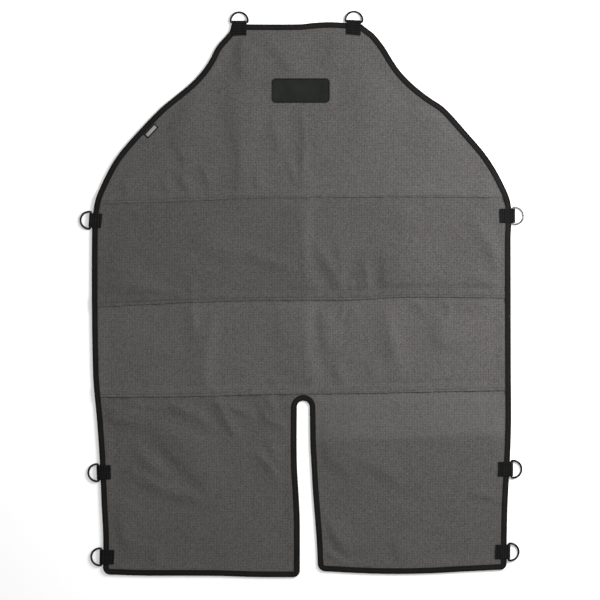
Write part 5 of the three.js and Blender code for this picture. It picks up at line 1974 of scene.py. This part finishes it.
@dataclass(frozen=True)
class SoftLight:
    """A square area light with its place, side and aim in metres and its power in watts."""

    name: str
    place: tuple[float, float, float]
    side: float
    power: float
    aim: tuple[float, float, float]

    def build(self) -> None:
        """Adds the light, facing its aim."""
        data = bpy.data.lights.new(self.name, "AREA")
        data.shape, data.size, data.energy = "SQUARE", self.side, self.power
        obj = bpy.data.objects.new(self.name, data)
        bpy.context.scene.collection.objects.link(obj)
        obj.location = self.place
        way = Vector(self.aim) - Vector(self.place)
        obj.rotation_euler = way.to_track_quat("-Z", "Y").to_euler()


@dataclass
class Studio:
    """The floor, the soft lights and the camera straight above the apron."""

    lights: tuple[SoftLight, ...] = (
        SoftLight("key", (1.26, 0.60, 0.98), 0.8, 50.0, (0.05, 0.2, 0.0)),
        SoftLight("fill", (-0.3, 0.3, 4.6), 3.4, 100.0, (0, 0, 0)),
    )
    room_light: float = 0.34
    floor_size: float = 9
    floor_tone: tuple[float, ...] = (0.93, 0.93, 0.93, 1)
    photo_scale: float = 2.2 * MM
    photo_pixels: int = 600
    photo_centre: tuple[float, float] = (300, 300)
    pattern_zero: tuple[float, float] = (302, 577)
    camera_height: float = 6.0
    sensor: float = 36.0

    def build(self) -> None:
        """Builds the floor, lights, surroundings and camera."""
        self.floor()
        for light in self.lights:
            light.build()
        world = bpy.data.worlds.new("pale_room")
        world.use_nodes = True
        background = world.node_tree.nodes["Background"]
        background.inputs[0].default_value = (1, 1, 1, 1)
        background.inputs[1].default_value = self.room_light
        bpy.context.scene.world = world
        bpy.context.scene.view_settings.view_transform = "Standard"
        self.camera()

    def floor(self) -> None:
        """A plain pale floor, far larger than the view."""
        bpy.ops.object.select_all(action="DESELECT")
        bpy.ops.mesh.primitive_plane_add(size=self.floor_size, location=(0, 0, 0))
        floor = bpy.context.active_object
        floor.name = floor.data.name = "floor"
        material, _, shader = new_material("pale_floor")
        shader.inputs["Base Color"].default_value = self.floor_tone
        set_plain(shader, Roughness=0.9, Specular_IOR_Level=0.1)
        floor.data.materials.append(material)

    def camera(self) -> None:
        """A long lens straight above the photo's middle, with +Y up in the picture."""
        data = bpy.data.cameras.new("above")
        obj = bpy.data.objects.new("above", data)
        bpy.context.scene.collection.objects.link(obj)
        across = (self.photo_centre[0] - self.pattern_zero[0]) * self.photo_scale
        up = (self.pattern_zero[1] - self.photo_centre[1]) * self.photo_scale
        origin = PATTERN.origin * MM
        obj.location = (origin[0] + across, origin[1] + up, self.camera_height)
        data.sensor_width = self.sensor
        data.lens = self.sensor * self.camera_height / (self.photo_scale * self.photo_pixels)
        data.clip_end = 50
        bpy.context.scene.camera = obj


RINGS = ("top_left", "top_right", "waist_left", "waist_right",
         "thigh_left", "thigh_right", "hem_left", "hem_right")


def main() -> None:
    """Builds the apron's sub-assemblies in order, then the studio."""
    wardrobe = Wardrobe()
    edge = FinishedEdge()
    Cloth(edge, wardrobe).build()
    Binding(edge, wardrobe).build()
    Sewing(edge, wardrobe).build()
    stitches = []
    for name in RINGS:
        stitches += Fastener(name, wardrobe).build()
    stitches = [points - np.array([*PATTERN.origin, 0]) for points in stitches]
    Stitching().build("tab_stitches", stitches, "webbing", wardrobe.thread)
    ChestPatch(wardrobe).build()
    SideTag(wardrobe).build()
    Studio().build()


if __name__ == "__main__":
    main()
